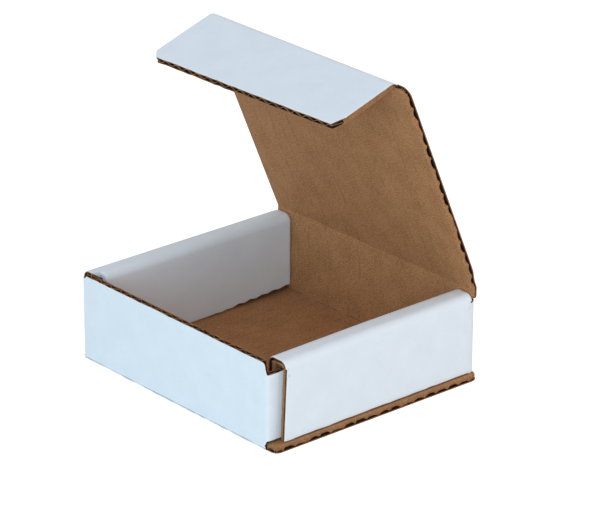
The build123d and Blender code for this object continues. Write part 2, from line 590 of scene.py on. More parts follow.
    def _curl(self, lip: Lip, ply: Ply, gap: float, depth: float, place: float, side: float) -> Point:
        """Crushes the board's section near a lip.

        Args:
            lip: The lip's shape.
            ply: The ply, where the kraft liner is the one that curls.
            gap: Distance from the edge.
            depth: Distance from the kraft face.
            place: Place along the edge.
            side: Number that makes one edge of the panel differ from another.

        Returns:
            The new distance from the edge and the new distance from the kraft face.
        """
        board, radius = self.board, lip.radius
        share = 1 - gap / radius
        if ply is Ply.WHITE:
            return gap, depth - board.cut_pinch * share * share
        opening = board.pocket(place, self.seed + side)
        inner = board.thickness - board.liner
        if ply is Ply.MEDIUM:
            inward = max(gap, radius * lip.medium_share + lip.recess)
            over = max(radius - inward, 0.0)
            floor = radius - math.sqrt(radius**2 - over**2) + board.liner
            return inward, floor + (inner - floor) * (depth - board.liner) / (inner - board.liner)
        quarter = radius * math.pi / 2
        drop = inner - lip.least - (lip.most - lip.least) * opening - radius
        travel = share * (quarter + max(drop, 0.0))
        turn = min(travel / radius, math.pi / 2)
        inward = radius - (radius - depth) * math.sin(turn)
        height = radius - (radius - depth) * math.cos(turn) + max(travel - quarter, 0.0)
        back = lip.recess * (lip.recess_share + (1 - lip.recess_share) * opening)
        return inward + back * share**lip.recess_power, height

    def _cut(self, ply: Ply, across: float, along: float, depth: float) -> tuple[float, float]:
        """Roughens the panel where its flutes lie open: the liners pinch in, and no ply ends level.

        Args:
            ply: The ply of the point.
            across: Place across the flutes.
            along: Place along the flutes.
            depth: Distance from the kraft face.

        Returns:
            The new place along the flutes, and the new depth.
        """
        board = self.board
        for rim, edge, inward in ((Rim.NEAR, self.low[1], 1), (Rim.FAR, self.high[1], -1)):
            gap = (along - edge) * inward
            if rim not in self.cuts or gap > board.cut_zone:
                continue
            share = (1 - max(gap, 0.0) / board.cut_zone) ** 2
            along += inward * share * self.torn(ply, across)
            row = list(Ply).index(ply) * board.cut_shift
            seed = Vector((across / board.flute_pitch * board.cut_rate, self.seed, row))
            along += inward * share * board.cut_waviness * (1 + noise.noise(seed))
            if ply is Ply.KRAFT:
                depth += board.cut_pinch * share * (1 + noise.noise(seed + PINCH_ROW))
            if ply is Ply.WHITE:
                depth -= board.cut_pinch * share / 2
            if ply is Ply.MEDIUM:
                squeeze = 1 - board.cut_squeeze * share * (1 + noise.noise(seed))
                top = board.thickness - board.liner
                depth = board.half + (depth - board.half) * squeeze + (top - board.half) * (1 - squeeze) / 3
        return along, depth

    def _hidden(self, across: float, along: float) -> float:
        """How deep inside a raw edge a point lies.

        Args:
            across: Place across the flutes.
            along: Place along the flutes.

        Returns:
            0 at the edge, up to 1 where no light comes; the material paints shade by this.
        """
        ends = {Rim.NEAR: along - self.low[1], Rim.FAR: self.high[1] - along}
        gaps = [self._nearest_lip(across, along)[0]]
        gaps += [gap for rim, gap in ends.items() if rim in self.cuts]
        lit, dark = self.board.lit_depth
        return smooth((min(gaps) - lit) / (dark - lit))

    def _crease_shade_and_lip_dark(self, ply: Ply, across: float, along: float) -> float:
        """How dark a visible face is at a point.

        Args:
            ply: The ply of the face.
            across: Place across the flutes.
            along: Place along the flutes.

        Returns:
            0 on a plain face, more with the painted shade of a pressed fold, and where the kraft liner is
            crushed over an edge.
        """
        gap = self._nearest_lip(across, along)[0]
        # Painted shade of pressed inner corners, and a darker tone where the kraft liner curls over a
        # crushed edge.
        crushed = self.lip.shade * smooth(2 * (1 - gap / self.lip.radius)) if ply is Ply.KRAFT else 0.0
        return max(self.pressed(across, along), crushed)

    def _drawn(self, across: float, along: float, share: float) -> Point:
        """Draws the panel's sides in to where they lie, with the board near them.

        Args:
            across: Place across the flutes.
            along: Place along the flutes.
            share: 0 on the kraft face, 1 on the white face.

        Returns:
            The place that the point moves to.
        """
        for rim in Rim:
            inset = self.inset(rim, across, along, share)
            if not inset:
                continue
            axis = 0 if rim in (Rim.LEFT, Rim.RIGHT) else 1
            place = (across, along)[axis]
            first = rim in (Rim.LEFT, Rim.NEAR)
            gap = place - self.low[axis] if first else self.high[axis] - place
            if gap >= self.seam_zone:
                continue
            place += (inset if first else -inset) * (1 - gap / self.seam_zone)
            across, along = (across, place) if axis else (place, along)
        return across, along

    def _add_ply(self, mesh: bmesh.types.BMesh, ply: Ply) -> None:
        """Adds one ply to the panel's mesh, as a closed sheet.

        Args:
            mesh: The mesh.
            ply: The ply.
        """
        columns, rows = self.columns(ply), self.rows(ply)
        uv = mesh.loops.layers.uv.verify()
        fold = mesh.verts.layers.float.get("crease") or mesh.verts.layers.float.new("crease")
        dark = mesh.verts.layers.float.get("hidden") or mesh.verts.layers.float.new("hidden")
        outer = {Ply.KRAFT: (0, Face.KRAFT), Ply.WHITE: (1, Face.WHITE)}.get(ply)
        grid = bmesh.ops.create_grid(mesh, x_segments=len(columns) - 1, y_segments=len(rows) - 1, size=1)
        faces = list({face for vertex in grid["verts"] for face in vertex.link_faces})
        copy = bmesh.ops.extrude_face_region(mesh, geom=faces, use_keep_orig=True)
        raised = [item for item in copy["geom"] if isinstance(item, bmesh.types.BMVert)]
        bmesh.ops.translate(mesh, verts=raised, vec=(0, 0, 1))
        vertices = grid["verts"] + raised
        flat: dict[bmesh.types.BMVert, tuple[float, float, int]] = {}
        for vertex in vertices:
            across = columns[round((vertex.co.x + 1) / 2 * (len(columns) - 1))]
            along = rows[round((vertex.co.y + 1) / 2 * (len(rows) - 1))]
            side = round(vertex.co.z)
            flat[vertex] = (across, along, side)
            shown = outer is not None and side == outer[0]
            # Painted shade: inner faces darken by their depth inside a raw edge, and shown faces by the
            # painted shade of pressed inner corners and where the kraft liner curls over a crushed edge.
            vertex[dark] = self._crease_shade_and_lip_dark(ply, across, along) if shown else self._hidden(across, along)
            depth = self.board.depths(ply, across)[side]
            across, along = self._rounded(across, along)
            across, along, depth = self._lipped(ply, across, along, depth)
            along, depth = self._cut(ply, across, along, depth)
            share = depth / self.board.thickness
            across, along = self._drawn(across, along, share)
            vertex.co = self.place(across, along, share)
            vertex[fold] = self.crease(across, along)
        for face in {face for vertex in vertices for face in vertex.link_faces}:
            sides = {flat[vertex][2] for vertex in face.verts}
            face.material_index = outer[1].value if outer and sides == {outer[0]} else Face.RAW.value
            face.smooth = True
            for loop in face.loops:
                loop[uv].uv = flat[loop.vert][:2]

    def build(self, finishes: Sequence[bpy.types.Material]) -> bpy.types.Object:
        """Builds the panel's mesh.

        Args:
            finishes: The materials, in the order of Face.

        Returns:
            The finished piece, with its place in its mesh.
        """
        mesh = bmesh.new()
        for ply in Ply:
            self._add_ply(mesh, ply)
        bmesh.ops.recalc_face_normals(mesh, faces=mesh.faces[:])
        for edge in mesh.edges:
            edge.smooth = edge.calc_face_angle(0.0) < self.board.sharp_angle
        data = bpy.data.meshes.new(self.name)
        mesh.to_mesh(data)
        mesh.free()
        for finish in finishes:
            data.materials.append(finish)
        piece = bpy.data.objects.new(self.name, data)
        bpy.context.scene.collection.objects.link(piece)
        log.info("%s: %d faces", self.name, len(data.polygons))
        return piece


@dataclass(kw_only=True)
class Base(Panel):
    """The base, with its kraft face up and its raw sides and corners outside the walls.

    Attributes:
        crease_half: Half of the length of the creases at its front and rear.
        crease_inset: How far these creases start inside its corners.
        left_inset: How far its front left corner stands back.
        skew: How much nearer to the middle its sides are at the front than at the rear.
    """

    crease_half: float
    crease_inset: float
    left_inset: float
    skew: float

    def joined(self, rim: Rim, across: float, along: float) -> bool:
        """The front and the rear are raw only outside the creases."""
        return rim in (Rim.NEAR, Rim.FAR) and abs(across) < self.crease_half

    def inset(self, rim: Rim, across: float, along: float, share: float) -> float:
        """The creases start further in than the corners end, and the front left corner stands back.

        Args:
            rim: The side.
            across: Place across the flutes.
            along: Place along the flutes.
            share: 0 on the kraft face, 1 on the white face; not used.

        Returns:
            How far the side lies inside the base's corners.
        """
        if self.joined(rim, across, along):
            return self.crease_inset
        return self.left_inset if rim is Rim.NEAR and across < 0 else 0.0

    def place(self, across: float, along: float, share: float) -> Vector:
        """Lays the base on the floor, white face down."""
        narrowed = max(across, 0.0) / self.high[0] * self.skew * (1 - along / self.high[1]) / 2
        return Vector((across - narrowed, along, self.board.thickness * (1 - share)))


@dataclass(kw_only=True)
class Strip(Panel):
    """A panel whose folds run across the flutes, such as a crease, a rolled side, the lid or the flap.

    Attributes:
        path: The board's section along the flutes.
        sideways: Whether the section lies across the box, as in the rolled sides.
        inner_corner: Whether its fold makes an inner corner, with painted shade in it.
        dash_rate: Number of dashes in such a corner over a flute, at the most.
        dash_level: How dark the corner is between its dashes and its bare stretches.
        dash_contrast: How sharply its dashes end.
    """

    path: BoardPath
    sideways: bool = False
    inner_corner: bool = False
    dash_rate: float = 2.6
    dash_level: float = 0.6
    dash_contrast: float = 2.2

    def place(self, across: float, along: float, share: float) -> Vector:
        """Folds the panel along its path."""
        point = self.path.at(along, share)
        return Vector((point.x, across, point.y)) if self.sideways else Vector((across, point.x, point.y))

    def crease(self, across: float, along: float) -> float:
        """Reads how near a point is to a fold off the path."""
        return 0.0 if self.inner_corner else self.path.fold_share(along)

    def pressed(self, across: float, along: float) -> float:
        """Painted shade in dashes along an inner corner, where the fold isn't pressed tight.

        Args:
            across: Place across the flutes.
            along: Place along the flutes.

        Returns:
            How dark the painted shade in the corner is, from 0 to 1.
        """
        if not self.inner_corner:
            return 0.0
        dash = noise.noise(Vector((across / self.board.flute_pitch * self.dash_rate, self.seed, 0)))
        return self.path.fold_share(along) ** 2 * smooth(self.dash_level + self.dash_contrast * dash)

    def rows(self, ply: Ply) -> list[float]:
        """Places along the path where a ply has points, close together in the folds."""
        step = self._liner_step(ply, Rim.LEFT, Rim.RIGHT)
        return self._with_lips(self.path.samples(step), Rim.NEAR, Rim.FAR)


@dataclass(kw_only=True)
class Upright(Panel):
    """A wall with its folds along the flutes: it turns at both ends, where it meets the sides.

    Attributes:
        path: The board's section across the flutes, seen from above.
    """

    path: BoardPath

    def foot(self, across: float, share: float) -> float:
        """Height of the wall's lower edge."""
        raise NotImplementedError

    def top(self, across: float, share: float) -> float:
        """Height of the wall's upper edge."""
        raise NotImplementedError

    def place(self, across: float, along: float, share: float) -> Vector:
        """Stands the wall up, between its lower and its upper edge.

        Args:
            across: Place across the flutes.
            along: Place along the flutes.
            share: 0 on the kraft face, 1 on the white face.

        Returns:
            The point, in the frame of the box.
        """
        point = self.path.at(across, share)
        foot, top = self.foot(across, share), self.top(across, share)
        height = foot + (top - foot) * (along - self.low[1]) / (self.high[1] - self.low[1])
        return Vector((point.x, point.y, height))

    def crease(self, across: float, along: float) -> float:
        """Reads how near a point is to a fold off the path."""
        return self.path.fold_share(across)

    def columns(self, ply: Ply) -> list[float]:
        """Places along the path where a ply has points, close together in the folds.

        Args:
            ply: The ply.

        Returns:
            The places, from low to high.
        """
        steps = self.board.flute_steps if ply is Ply.MEDIUM else self.board.wall_steps
        step = self.board.flute_pitch / steps
        return self._with_breaks(self._with_lips(self.path.samples(step), Rim.LEFT, Rim.RIGHT))


@dataclass(frozen=True)
class Hinge:
    """A fold that moves: two panels meet on its axis, and a short crease joins them.

    Attributes:
        axis: The fold's axis, seen from the side.
        arriving: Angle above the level of the panel that ends at the fold, in radians.
        leaving: Angle above the level of the panel that starts at the fold.
        reach: Half of the crease's width, straight across it.
        board: The board.
        white_radius: Radius of the fold in the white face.
        kraft_radius: Radius of the fold in the kraft face.
    """

    axis: Point
    arriving: float
    leaving: float
    reach: float
    board: Board
    white_radius: float
    kraft_radius: float = 0.0003

    @staticmethod
    def heading(angle: float) -> Vector:
        """Direction in which a panel runs, towards the front of the box."""
        return Vector((-math.cos(angle), math.sin(angle)))

    @staticmethod
    def outward(angle: float) -> Vector:
        """Direction out of a panel's white face."""
        return Vector((math.sin(angle), math.cos(angle)))

    @property
    def half_turn(self) -> float:
        """Half of the angle that the board turns through."""
        return (self.arriving - self.leaving) / 2

    def seam(self, share: float) -> float:
        """Distance from the axis, along either panel, at which the crease starts.

        Args:
            share: 0 on the kraft face, 1 on the white face.

        Returns:
            The distance, in metres.
        """
        outward = (2 * share - 1) * self.board.half
        return (self.reach - outward * math.sin(self.half_turn)) / math.cos(self.half_turn)

    def ends(self) -> tuple[Vector, Vector]:
        """The crease's two ends, on the straight line across it.

        Returns:
            The points, in the frame of the box.
        """
        middle = (self.arriving + self.leaving) / 2
        step = self.heading(middle) * self.reach
        axis = Vector(self.axis)
        return tuple(Vector((0, *(axis + side * step))) for side in (-1, 1))

    def path(self) -> BoardPath:
        """The crease's section.

        Returns:
            The section, from one panel's end to the other's start.
        """
        faces = []
        axis = Vector(self.axis)
        middle = (self.arriving + self.leaving) / 2
        for share, radius in ((0, self.kraft_radius), (1, self.white_radius)):
            offset = (2 * share - 1) * self.board.half
            seam = self.seam(share)
            start = axis + self.outward(self.arriving) * offset - self.heading(self.arriving) * seam
            end = axis + self.outward(self.leaving) * offset + self.heading(self.leaving) * seam
            corner = axis + self.outward(middle) * offset / math.cos(self.half_turn)
            faces.append(FacePath([tuple(start), tuple(corner), tuple(end)], radius))
        return BoardPath(*faces)


# The tray


@dataclass
class Tray:
    """The tray: base, front wall with its corner flaps, hinge wall, and two sides rolled inwards.

    Attributes:
        board: The board.
        hinge: The fold of the lid.
        half_width: Half of the base's width.
        half_depth: Half of the base's depth, over the front wall and the hinge wall.
        lay_gap: Gap between an outer panel and the corner flap that it covers.
        inner_lay_gap: Gap between that corner flap and the inner panel.
        fold_inner: Radius of a fold in the kraft face.
        pressed_fold: Radius of a pressed fold in the white face.
        pressed_fold_inner: Radius of a pressed fold in the kraft face.
        ledge: How far the base reaches past the outer panels.
        ear_setback: How far the base's corners stand back from the front wall and the hinge wall.
        left_ear_setback: How far its front left corner does.
        ledge_skew: How much narrower the ledge is at the front.
        stand_gap: Gap between the base and the feet of the sides.
        base_radius: Radius of the base's front corners.
        base_rear_radius: Radius of its rear corners.
        rear_fold: Radius of the rear corners of the walls.
        crease_setback: How far the creases of the base start inside the corner flaps.
        front_height: Height of the front wall.
        left_corner_radius: Radius of the front wall's top at its left end.
        right_corner_radius: Radius of its top at its right end.
        corner_steps: Number of steps over such a corner.
        roll_rise: How far the sides stand above the front wall.
        roll_front_gap: Gap between the front wall and the front ends of the rolls.
        left_roll_gap: The same at the left end of the left side, outside the corner flap.
        notch_half: Half of the width between the notches in the rolls' front ends.
        roll_rear_gap: Gap between the hinge wall and the rear ends of the rolls.
        corner_seam: How far the outer panels start in front of those ends.
        flap_length: Length of a corner flap.
        flap_drop: How far the top of a corner flap lies under that of the front wall.
        flap_lift: Gap between a corner flap and the base.
        hinge_setback: How far the top of the hinge wall ends inside the outer panels.
        hinge_end_radius: Radius of its lower corners.
        hinge_zone: Width of its board that is drawn in to the seam of the lid's crease.
        base_lip: Shape of the base's crushed edges.
        hinge_lip: Shape of those of the hinge wall's top.
        side_lip: Shape of those of the rolled sides.
    """

    board: Board
    hinge: Hinge
    half_width: float
    half_depth: float
    lay_gap: float = 0.0002
    inner_lay_gap: float = 0.0014
    fold_inner: float = 0.0004
    pressed_fold: float = 0.0016
    pressed_fold_inner: float = 0.00025
    ledge: float = 0.0018
    ear_setback: float = 0.0008
    left_ear_setback: float = 0.0044
    ledge_skew: float = 0.0007
    stand_gap: float = 0.0003
    base_radius: float = 0.0027
    base_rear_radius: float = 0.0036
    rear_fold: float = 0.005
    crease_setback: float = 0.001
    front_height: float = 0.037
    left_corner_radius: float = 0.0004
    right_corner_radius: float = 0.0035
    corner_steps: int = 8
    roll_rise: float = 0.0001
    roll_front_gap: float = 0.0039
    left_roll_gap: float = 0.0004
    notch_half: float = 0.054
    roll_rear_gap: float = 0.0004
    corner_seam: float = 0.0018
    flap_length: float = 0.03
    flap_drop: float = 0.0049
    flap_lift: float = 0.0012
    hinge_setback: float = 0.0012
    hinge_end_radius: float = 0.002
    hinge_zone: float = 0.002
    base_lip: Lip = Lip(radius=0.001, least=0.0, most=0.0014, recess=0.0006, shade=0.3)
    hinge_lip: Lip = Lip(radius=0.0011, least=0.0002, most=0.0006, recess=0.0003)
    side_lip: Lip = Lip(radius=0.001, least=0.001, most=0.0015, recess=0.0004)

    def __post_init__(self) -> None:
        """Works out the places of the walls, from the outside of the base in."""
        thickness = self.board.thickness
        self.fold_outer = self.fold_inner + thickness
        self.outer_out = self.half_width - self.ledge
        self.outer_in = self.outer_out - thickness
        self.flap_out = self.outer_in - self.lay_gap
        self.flap_in = self.flap_out - thickness
        self.inner_out = self.flap_in - self.inner_lay_gap
        self.inner_in = self.inner_out - thickness
        self.wall_in = self.half_depth - thickness
        self.fold_start = self.half_depth - self.fold_outer
        self.roll_top = self.front_height + self.roll_rise
        self.shoulder = self.roll_top - self.fold_outer
        self.roll_front = self.roll_front_gap - self.wall_in
        self.roll_rear = self.wall_in - self.roll_rear_gap
        self.panel_foot = thickness + self.stand_gap
        self.hinge_half = self.outer_out - self.hinge_setback
        self.crease_half = self.flap_out - self.crease_setback

    def base(self) -> Base:
        """Sets out the base.

        Returns:
            The panel.
        """
        half_depth = self.half_depth - self.ear_setback
        return Base(
            "base_panel",
            self.board,
            low=(-self.half_width, -half_depth),
            high=(self.half_width, half_depth),
            lips=frozenset(Rim),
            near_radius=self.base_radius,
            far_radius=self.base_rear_radius,
            seed=Seed.BASE.value,
            lip=self.base_lip,
            breaks=(-self.crease_half, self.crease_half),
            crease_half=self.crease_half,
            crease_inset=half_depth - self.fold_start,
            left_inset=self.left_ear_setback - self.ear_setback,
            skew=self.ledge_skew,
        )

    def base_crease(self, side: int) -> Strip:
        """The pressed fold between the base and one of the two walls that it runs on into.

        Args:
            side: -1 at the front wall, 1 at the hinge wall.

        Returns:
            The crease.
        """
        faces = []
        for share, wall, level, radius in (
            (0, self.wall_in, self.board.thickness, self.pressed_fold_inner),
            (1, self.half_depth, 0, self.pressed_fold),
        ):
            corners = [(self.fold_start, level), (wall, level), (wall, self.seam_height(share))]
            faces.append(FacePath([(side * y, z) for y, z in corners], radius))
        path = BoardPath(*faces, first=self.fold_start)
        name = "front_crease" if side < 0 else "rear_crease"
        low, high = (-self.crease_half, path.marks[0]), (self.crease_half, path.marks[-1])
        seed = Seed.BASE_CREASE.value + side
        return Strip(name, self.board, low, high, seed=seed, path=path, inner_corner=True)

    def front_wall(self) -> "FrontWall":
        """The front wall with its corner flaps."""
        return FrontWall.of(self)

    def rear_wall(self) -> "RearWall":
        """The hinge wall with the rear corners of the sides, up to their shoulders."""
        return RearWall.of(self)

    def hinge_strip(self) -> "HingeStrip":
        """The hinge wall above the shoulders of the sides, up to the crease of the lid."""
        return HingeStrip.of(self)

    def seam_height(self, share: float) -> float:
        """Height at which the walls leave the creases along the base.

        Args:
            share: 0 on the kraft face, 1 on the white face.

        Returns:
            The height, in metres.
        """
        kraft = self.board.thickness + 2 * self.pressed_fold_inner
        white = self.pressed_fold + self.pressed_fold_inner
        return kraft + (white - kraft) * share

    def rolled_side(self, side: int) -> "RolledSide":
        """A side wall: up outside, over the corner flap and down inside."""
        return RolledSide.of(self, side)


def board_corners(side_out: float, side_in: float, end: float, wall_out: float, wall_in: float) -> tuple:
    """Corners of the kraft face and of the white face of a wall that turns at both ends.

    Args:
        side_out: Outer face of the turned ends.
        side_in: Their inner face.
        end: How far they run, towards or past the middle of the box.
        wall_out: Outer face of the wall.
        wall_in: Its inner face.

    Returns:
        The corners of the kraft face, and those of the white face.
    """
    return tuple(
        [(-side_x, end), (-side_x, wall_y), (side_x, wall_y), (side_x, end)]
        for side_x, wall_y in ((side_in, wall_in), (side_out, wall_out))
    )


@dataclass(kw_only=True)
class FrontWall(Upright):
    """The front wall, which turns back at both ends into the corner flaps.

    Attributes:
        tray: The tray.
        end_tear: How far its white liner is torn at the left end of its top.
    """

    tray: Tray
    end_tear: float = 0.0014

    @classmethod
    def of(cls, tray: Tray) -> "FrontWall":
        """Sets out the front wall of a tray.

        Args:
            tray: The tray.

        Returns:
            The front wall.
        """
        flap_end = tray.flap_length - tray.wall_in
        kraft, white = board_corners(tray.flap_out, tray.flap_in, flap_end, -tray.half_depth, -tray.wall_in)
        path = BoardPath(FacePath(kraft, tray.fold_inner), FacePath(white, tray.pressed_fold))
        low, high = (path.marks[0], 0.0), (path.marks[-1], tray.front_height)
        count = tray.corner_steps
        steps = [path.marks[3] - tray.right_corner_radius * n / count for n in range(count + 1)]
        return cls(
            "front_wall",
            tray.board,
            low,
            high,
            cuts=frozenset({Rim.FAR}),
            seed=Seed.FRONT_WALL.value,
            breaks=(*(-step for step in steps), *steps),
            path=path,
            tray=tray,
        )

    def foot(self, across: float, share: float) -> float:
        """The fold along the base, and above it the lower edges of the corner flaps.

        Args:
            across: Place across the flutes.
            share: 0 on the kraft face, 1 on the white face.

        Returns:
            The height.
        """
        tray = self.tray
        seam = tray.seam_height(share)
        return seam + (tray.board.thickness + tray.flap_lift - seam) * smooth(self._past_fold(across, 0.0))

    def _past_fold(self, across: float, start: float) -> float:
        """Measures how far a place lies past a start in the fold at the wall's end.

        Args:
            across: Place across the flutes.
            start: The start, in halves of the fold.

        Returns:
            The distance, in halves of the fold.
        """
        fold_in, fold_out = self.path.marks[3:5]
        return 2 * ((abs(across) - fold_in) / (fold_out - fold_in) - start)

    def torn(self, ply: Ply, across: float) -> float:
        """The white liner is torn at the left end of the top."""
        end = self.path.marks[2] + self.end_tear
        return self.end_tear * smooth((end - across) / self.end_tear) if ply is Ply.WHITE else 0.0

    def top(self, across: float, share: float) -> float:
        """The straight top, its rounded ends, and the lower tops of the corner flaps.

        Args:
            across: Place across the flutes.
            share: 0 on the kraft face, 1 on the white face.

        Returns:
            The height, in metres.
        """
        tray = self.tray
        right = across > 0
        radius = tray.right_corner_radius if right else tray.left_corner_radius
        beyond = abs(self.path.at(across, share).x) - (tray.flap_out - radius)
        rounded = math.sqrt(radius**2 - min(max(beyond, 0.0), radius) ** 2) - radius
        past = self._past_fold(across, 0.0 if right else 1.0)
        drop = rounded + (-tray.flap_drop - rounded) * smooth(past)
        return tray.front_height + drop


@dataclass(kw_only=True)
class RearWall(Upright):
    """The hinge wall, which turns forward at both ends into the outer panels of the sides.

    Attributes:
        tray: The tray.
    """

    tray: Tray

    @classmethod
    def of(cls, tray: Tray) -> "RearWall":
        """Sets out the hinge wall of a tray.

        Args:
            tray: The tray.

        Returns:
            The hinge wall.
        """
        end = tray.roll_rear - tray.corner_seam
        kraft, white = board_corners(tray.outer_out, tray.outer_in, end, tray.half_depth, tray.wall_in)
        inside = FacePath(kraft, tray.rear_fold - tray.board.thickness)
        path = BoardPath(inside, FacePath(white, tray.rear_fold))
        low, high = (path.marks[0], 0.0), (path.marks[-1], tray.shoulder)
        breaks = (-tray.crease_half, tray.crease_half)
        seed = Seed.HINGE_WALL.value
        return cls("hinge_wall", tray.board, low, high, seed=seed, breaks=breaks, path=path, tray=tray)

    def foot(self, across: float, share: float) -> float:
        """The fold along the base, and the feet of the outer panels beside it."""
        tray = self.tray
        return tray.panel_foot if abs(across) > tray.crease_half else tray.seam_height(share)

    def top(self, across: float, share: float) -> float:
        """The shoulders of the sides."""
        return self.tray.shoulder


@dataclass(kw_only=True)
class HingeStrip(Panel):
    """The top of the hinge wall, between the shoulders of the sides and the crease of the lid.

    Attributes:
        tray: The tray.
    """

    tray: Tray

    @classmethod
    def of(cls, tray: Tray) -> "HingeStrip":
        """Sets out the top of a tray's hinge wall.

        Args:
            tray: The tray.

        Returns:
            The top of the wall.
        """
        corner = tray.outer_out - tray.fold_outer
        return cls(
            "hinge_strip",
            tray.board,
            low=(-tray.hinge_half, tray.shoulder),
            high=(tray.hinge_half, tray.hinge.axis[1] - tray.hinge.seam(0.5)),
            lips=frozenset({Rim.LEFT, Rim.RIGHT, Rim.NEAR}),
            near_radius=tray.hinge_end_radius,
            seed=Seed.HINGE_STRIP.value,
            lip=tray.hinge_lip,
            seam_zone=tray.hinge_zone,
            breaks=(-corner, corner),
            tray=tray,
        )

    def joined(self, rim: Rim, across: float, along: float) -> bool:
        """The lower edge is raw only outside the rear corners."""
        return rim is Rim.NEAR and abs(across) < self.tray.outer_out - self.tray.fold_outer

    def inset(self, rim: Rim, across: float, along: float, share: float) -> float:
        """The upper edge follows the seam of the lid's crease."""
        return self.tray.hinge.seam(share) - self.tray.hinge.seam(0.5) if rim is Rim.FAR else 0.0

    def place(self, across: float, along: float, share: float) -> Vector:
        """Stands the strip in the plane of the hinge wall."""
        return Vector((across, self.tray.wall_in + self.board.thickness * share, along))


@dataclass(kw_only=True)
class RolledSide(Strip):
    """A side wall, rolled over a corner flap: an outer panel, a level top and an inner panel.

    Attributes:
        tray: The tray.
        side: -1 for the left side, 1 for the right one.
        notch: Place along the path where the front end of the left side steps back.
        outer_lean: How far the right outer panel's front edge leans back over its height.
        lean_level: Height at which that edge is in its place, as a share of the side's height.
        left_setback: How far the left outer panel's front edge stands back at its foot.
        corner_ease: How far outside its outer panel the roll follows the rear corner, in thicknesses.
        sag: How far the top of the right side sinks towards the front.
        sag_level: Height at which it starts to sink, as a share of the side's height.
        sag_rate: How soon above that it sinks fully.
        foot_rise: How far the left inner panel's foot rises towards the rear.
        foot_start: Place along the side where it starts to rise.
        scallop: Depth of the waves in that foot.
        scallop_rate: How soon the waves reach this depth.
    """

    tray: Tray
    side: int
    notch: float
    outer_lean: float = 0.0018
    lean_level: float = 0.6
    left_setback: float = 0.0012
    corner_ease: float = 0.6
    sag: float = 0.0006
    sag_level: float = 0.7
    sag_rate: float = 4.0
    foot_rise: float = 0.0016
    foot_start: float = 0.014
    scallop: float = 0.0007
    scallop_rate: float = 8.0

    @classmethod
    def of(cls, tray: Tray, side: int) -> "RolledSide":
        """Sets out one of a tray's two sides.

        Args:
            tray: The tray.
            side: -1 for the left side, 1 for the right one.

        Returns:
            The side.
        """
        faces = []
        for outer, inner, top, radius in (
            (tray.outer_in, tray.inner_out, tray.roll_top - tray.board.thickness, tray.fold_inner),
            (tray.outer_out, tray.inner_in, tray.roll_top, tray.fold_outer),
        ):
            corners = [(outer, tray.panel_foot), (outer, top), (inner, top), (inner, tray.panel_foot)]
            faces.append(FacePath([(side * x, z) for x, z in corners], radius))
        path = BoardPath(*faces, first=0.0)
        notch = path.marks[2] + tray.outer_out - tray.fold_outer - tray.notch_half
        return cls(
            "left_side" if side < 0 else "right_side",
            tray.board,
            low=(tray.left_roll_gap - tray.wall_in if side < 0 else tray.roll_front, path.marks[0]),
            high=(tray.roll_rear, path.marks[-1]),
            lips=frozenset({Rim.LEFT, Rim.RIGHT}),
            cuts=frozenset({Rim.NEAR, Rim.FAR}),
            seed=(Seed.LEFT_SIDE if side < 0 else Seed.RIGHT_SIDE).value,
            lip=tray.side_lip,
            path=path,
            sideways=True,
            tray=tray,
            side=side,
            notch=notch,
        )

    def rows(self, ply: Ply) -> list[float]:
        """Adds points where the front end of the left side steps back."""
        shift = self.board.medium / 3
        return sorted({*super().rows(ply), self.notch - shift, self.notch + shift})

    def joined(self, rim: Rim, across: float, along: float) -> bool:
        """The rear end is raw from the top fold on; below it the outer panel runs on round the corner."""
        return rim is Rim.RIGHT and along < self.path.marks[1]

    def inset(self, rim: Rim, across: float, along: float, share: float) -> float:
        """The outer panel ends at the rear corner, and the left side steps back beside the tuck flap.

        Args:
            rim: The side.
            across: Place across the flutes.
            along: Place along the flutes.
            share: 0 on the kraft face, 1 on the white face; not used.

        Returns:
            How far the end lies inside the panel's corners.
        """
        if self.joined(rim, across, along):
            return self.tray.corner_seam
        if rim is Rim.LEFT and self.side < 0 and along > self.notch:
            return self.tray.roll_front - self.low[0]
        return 0.0

    def place(self, across: float, along: float, share: float) -> Vector:
        """Folds the side, and leans its loose edges as the real box's do.

        Args:
            across: Place across the flutes.
            along: Place along the flutes.
            share: 0 on the kraft face, 1 on the white face.

        Returns:
            The point, in the frame of the box.
        """
        point = super().place(across, along, share)
        front = max(-point.y / self.tray.half_depth, 0.0)
        height = point.z / self.tray.shoulder
        if along < self.path.marks[1]:
            lean = self.left_setback * (1 - height)
            if self.side > 0:
                lean = self.outer_lean * (height - self.lean_level)
            point.y += lean * front
        fold = self.tray.rear_fold
        beyond = max(across - self.tray.half_depth + fold, 0.0)
        rounded = fold - math.sqrt(fold**2 - beyond**2)
        outside = (abs(point.x) - self.tray.outer_in) / self.board.thickness
        point.x -= self.side * rounded * smooth(outside + self.corner_ease)
        if self.side > 0:
            above = point.z / self.tray.roll_top - self.sag_level
            point.z -= self.sag * front * smooth(above * self.sag_rate)
        elif along > self.path.marks[4] and across > self.foot_start:
            rear = (across - self.foot_start) / (self.high[0] - self.foot_start)
            wave = abs(math.sin(math.pi * across / self.board.flute_pitch))
            lift = self.foot_rise * rear + self.scallop * wave * smooth(rear * self.scallop_rate)
            point.z += lift * (along - self.path.marks[4]) / (self.high[1] - self.path.marks[4])
        return point

    def curls_back(self, across: float, along: float) -> bool:
        """The white liner curls over the front end of the left side's roll, behind the front wall."""
        return self.side < 0 and across < 0 and along > self.notch


# The lid and the tuck flap


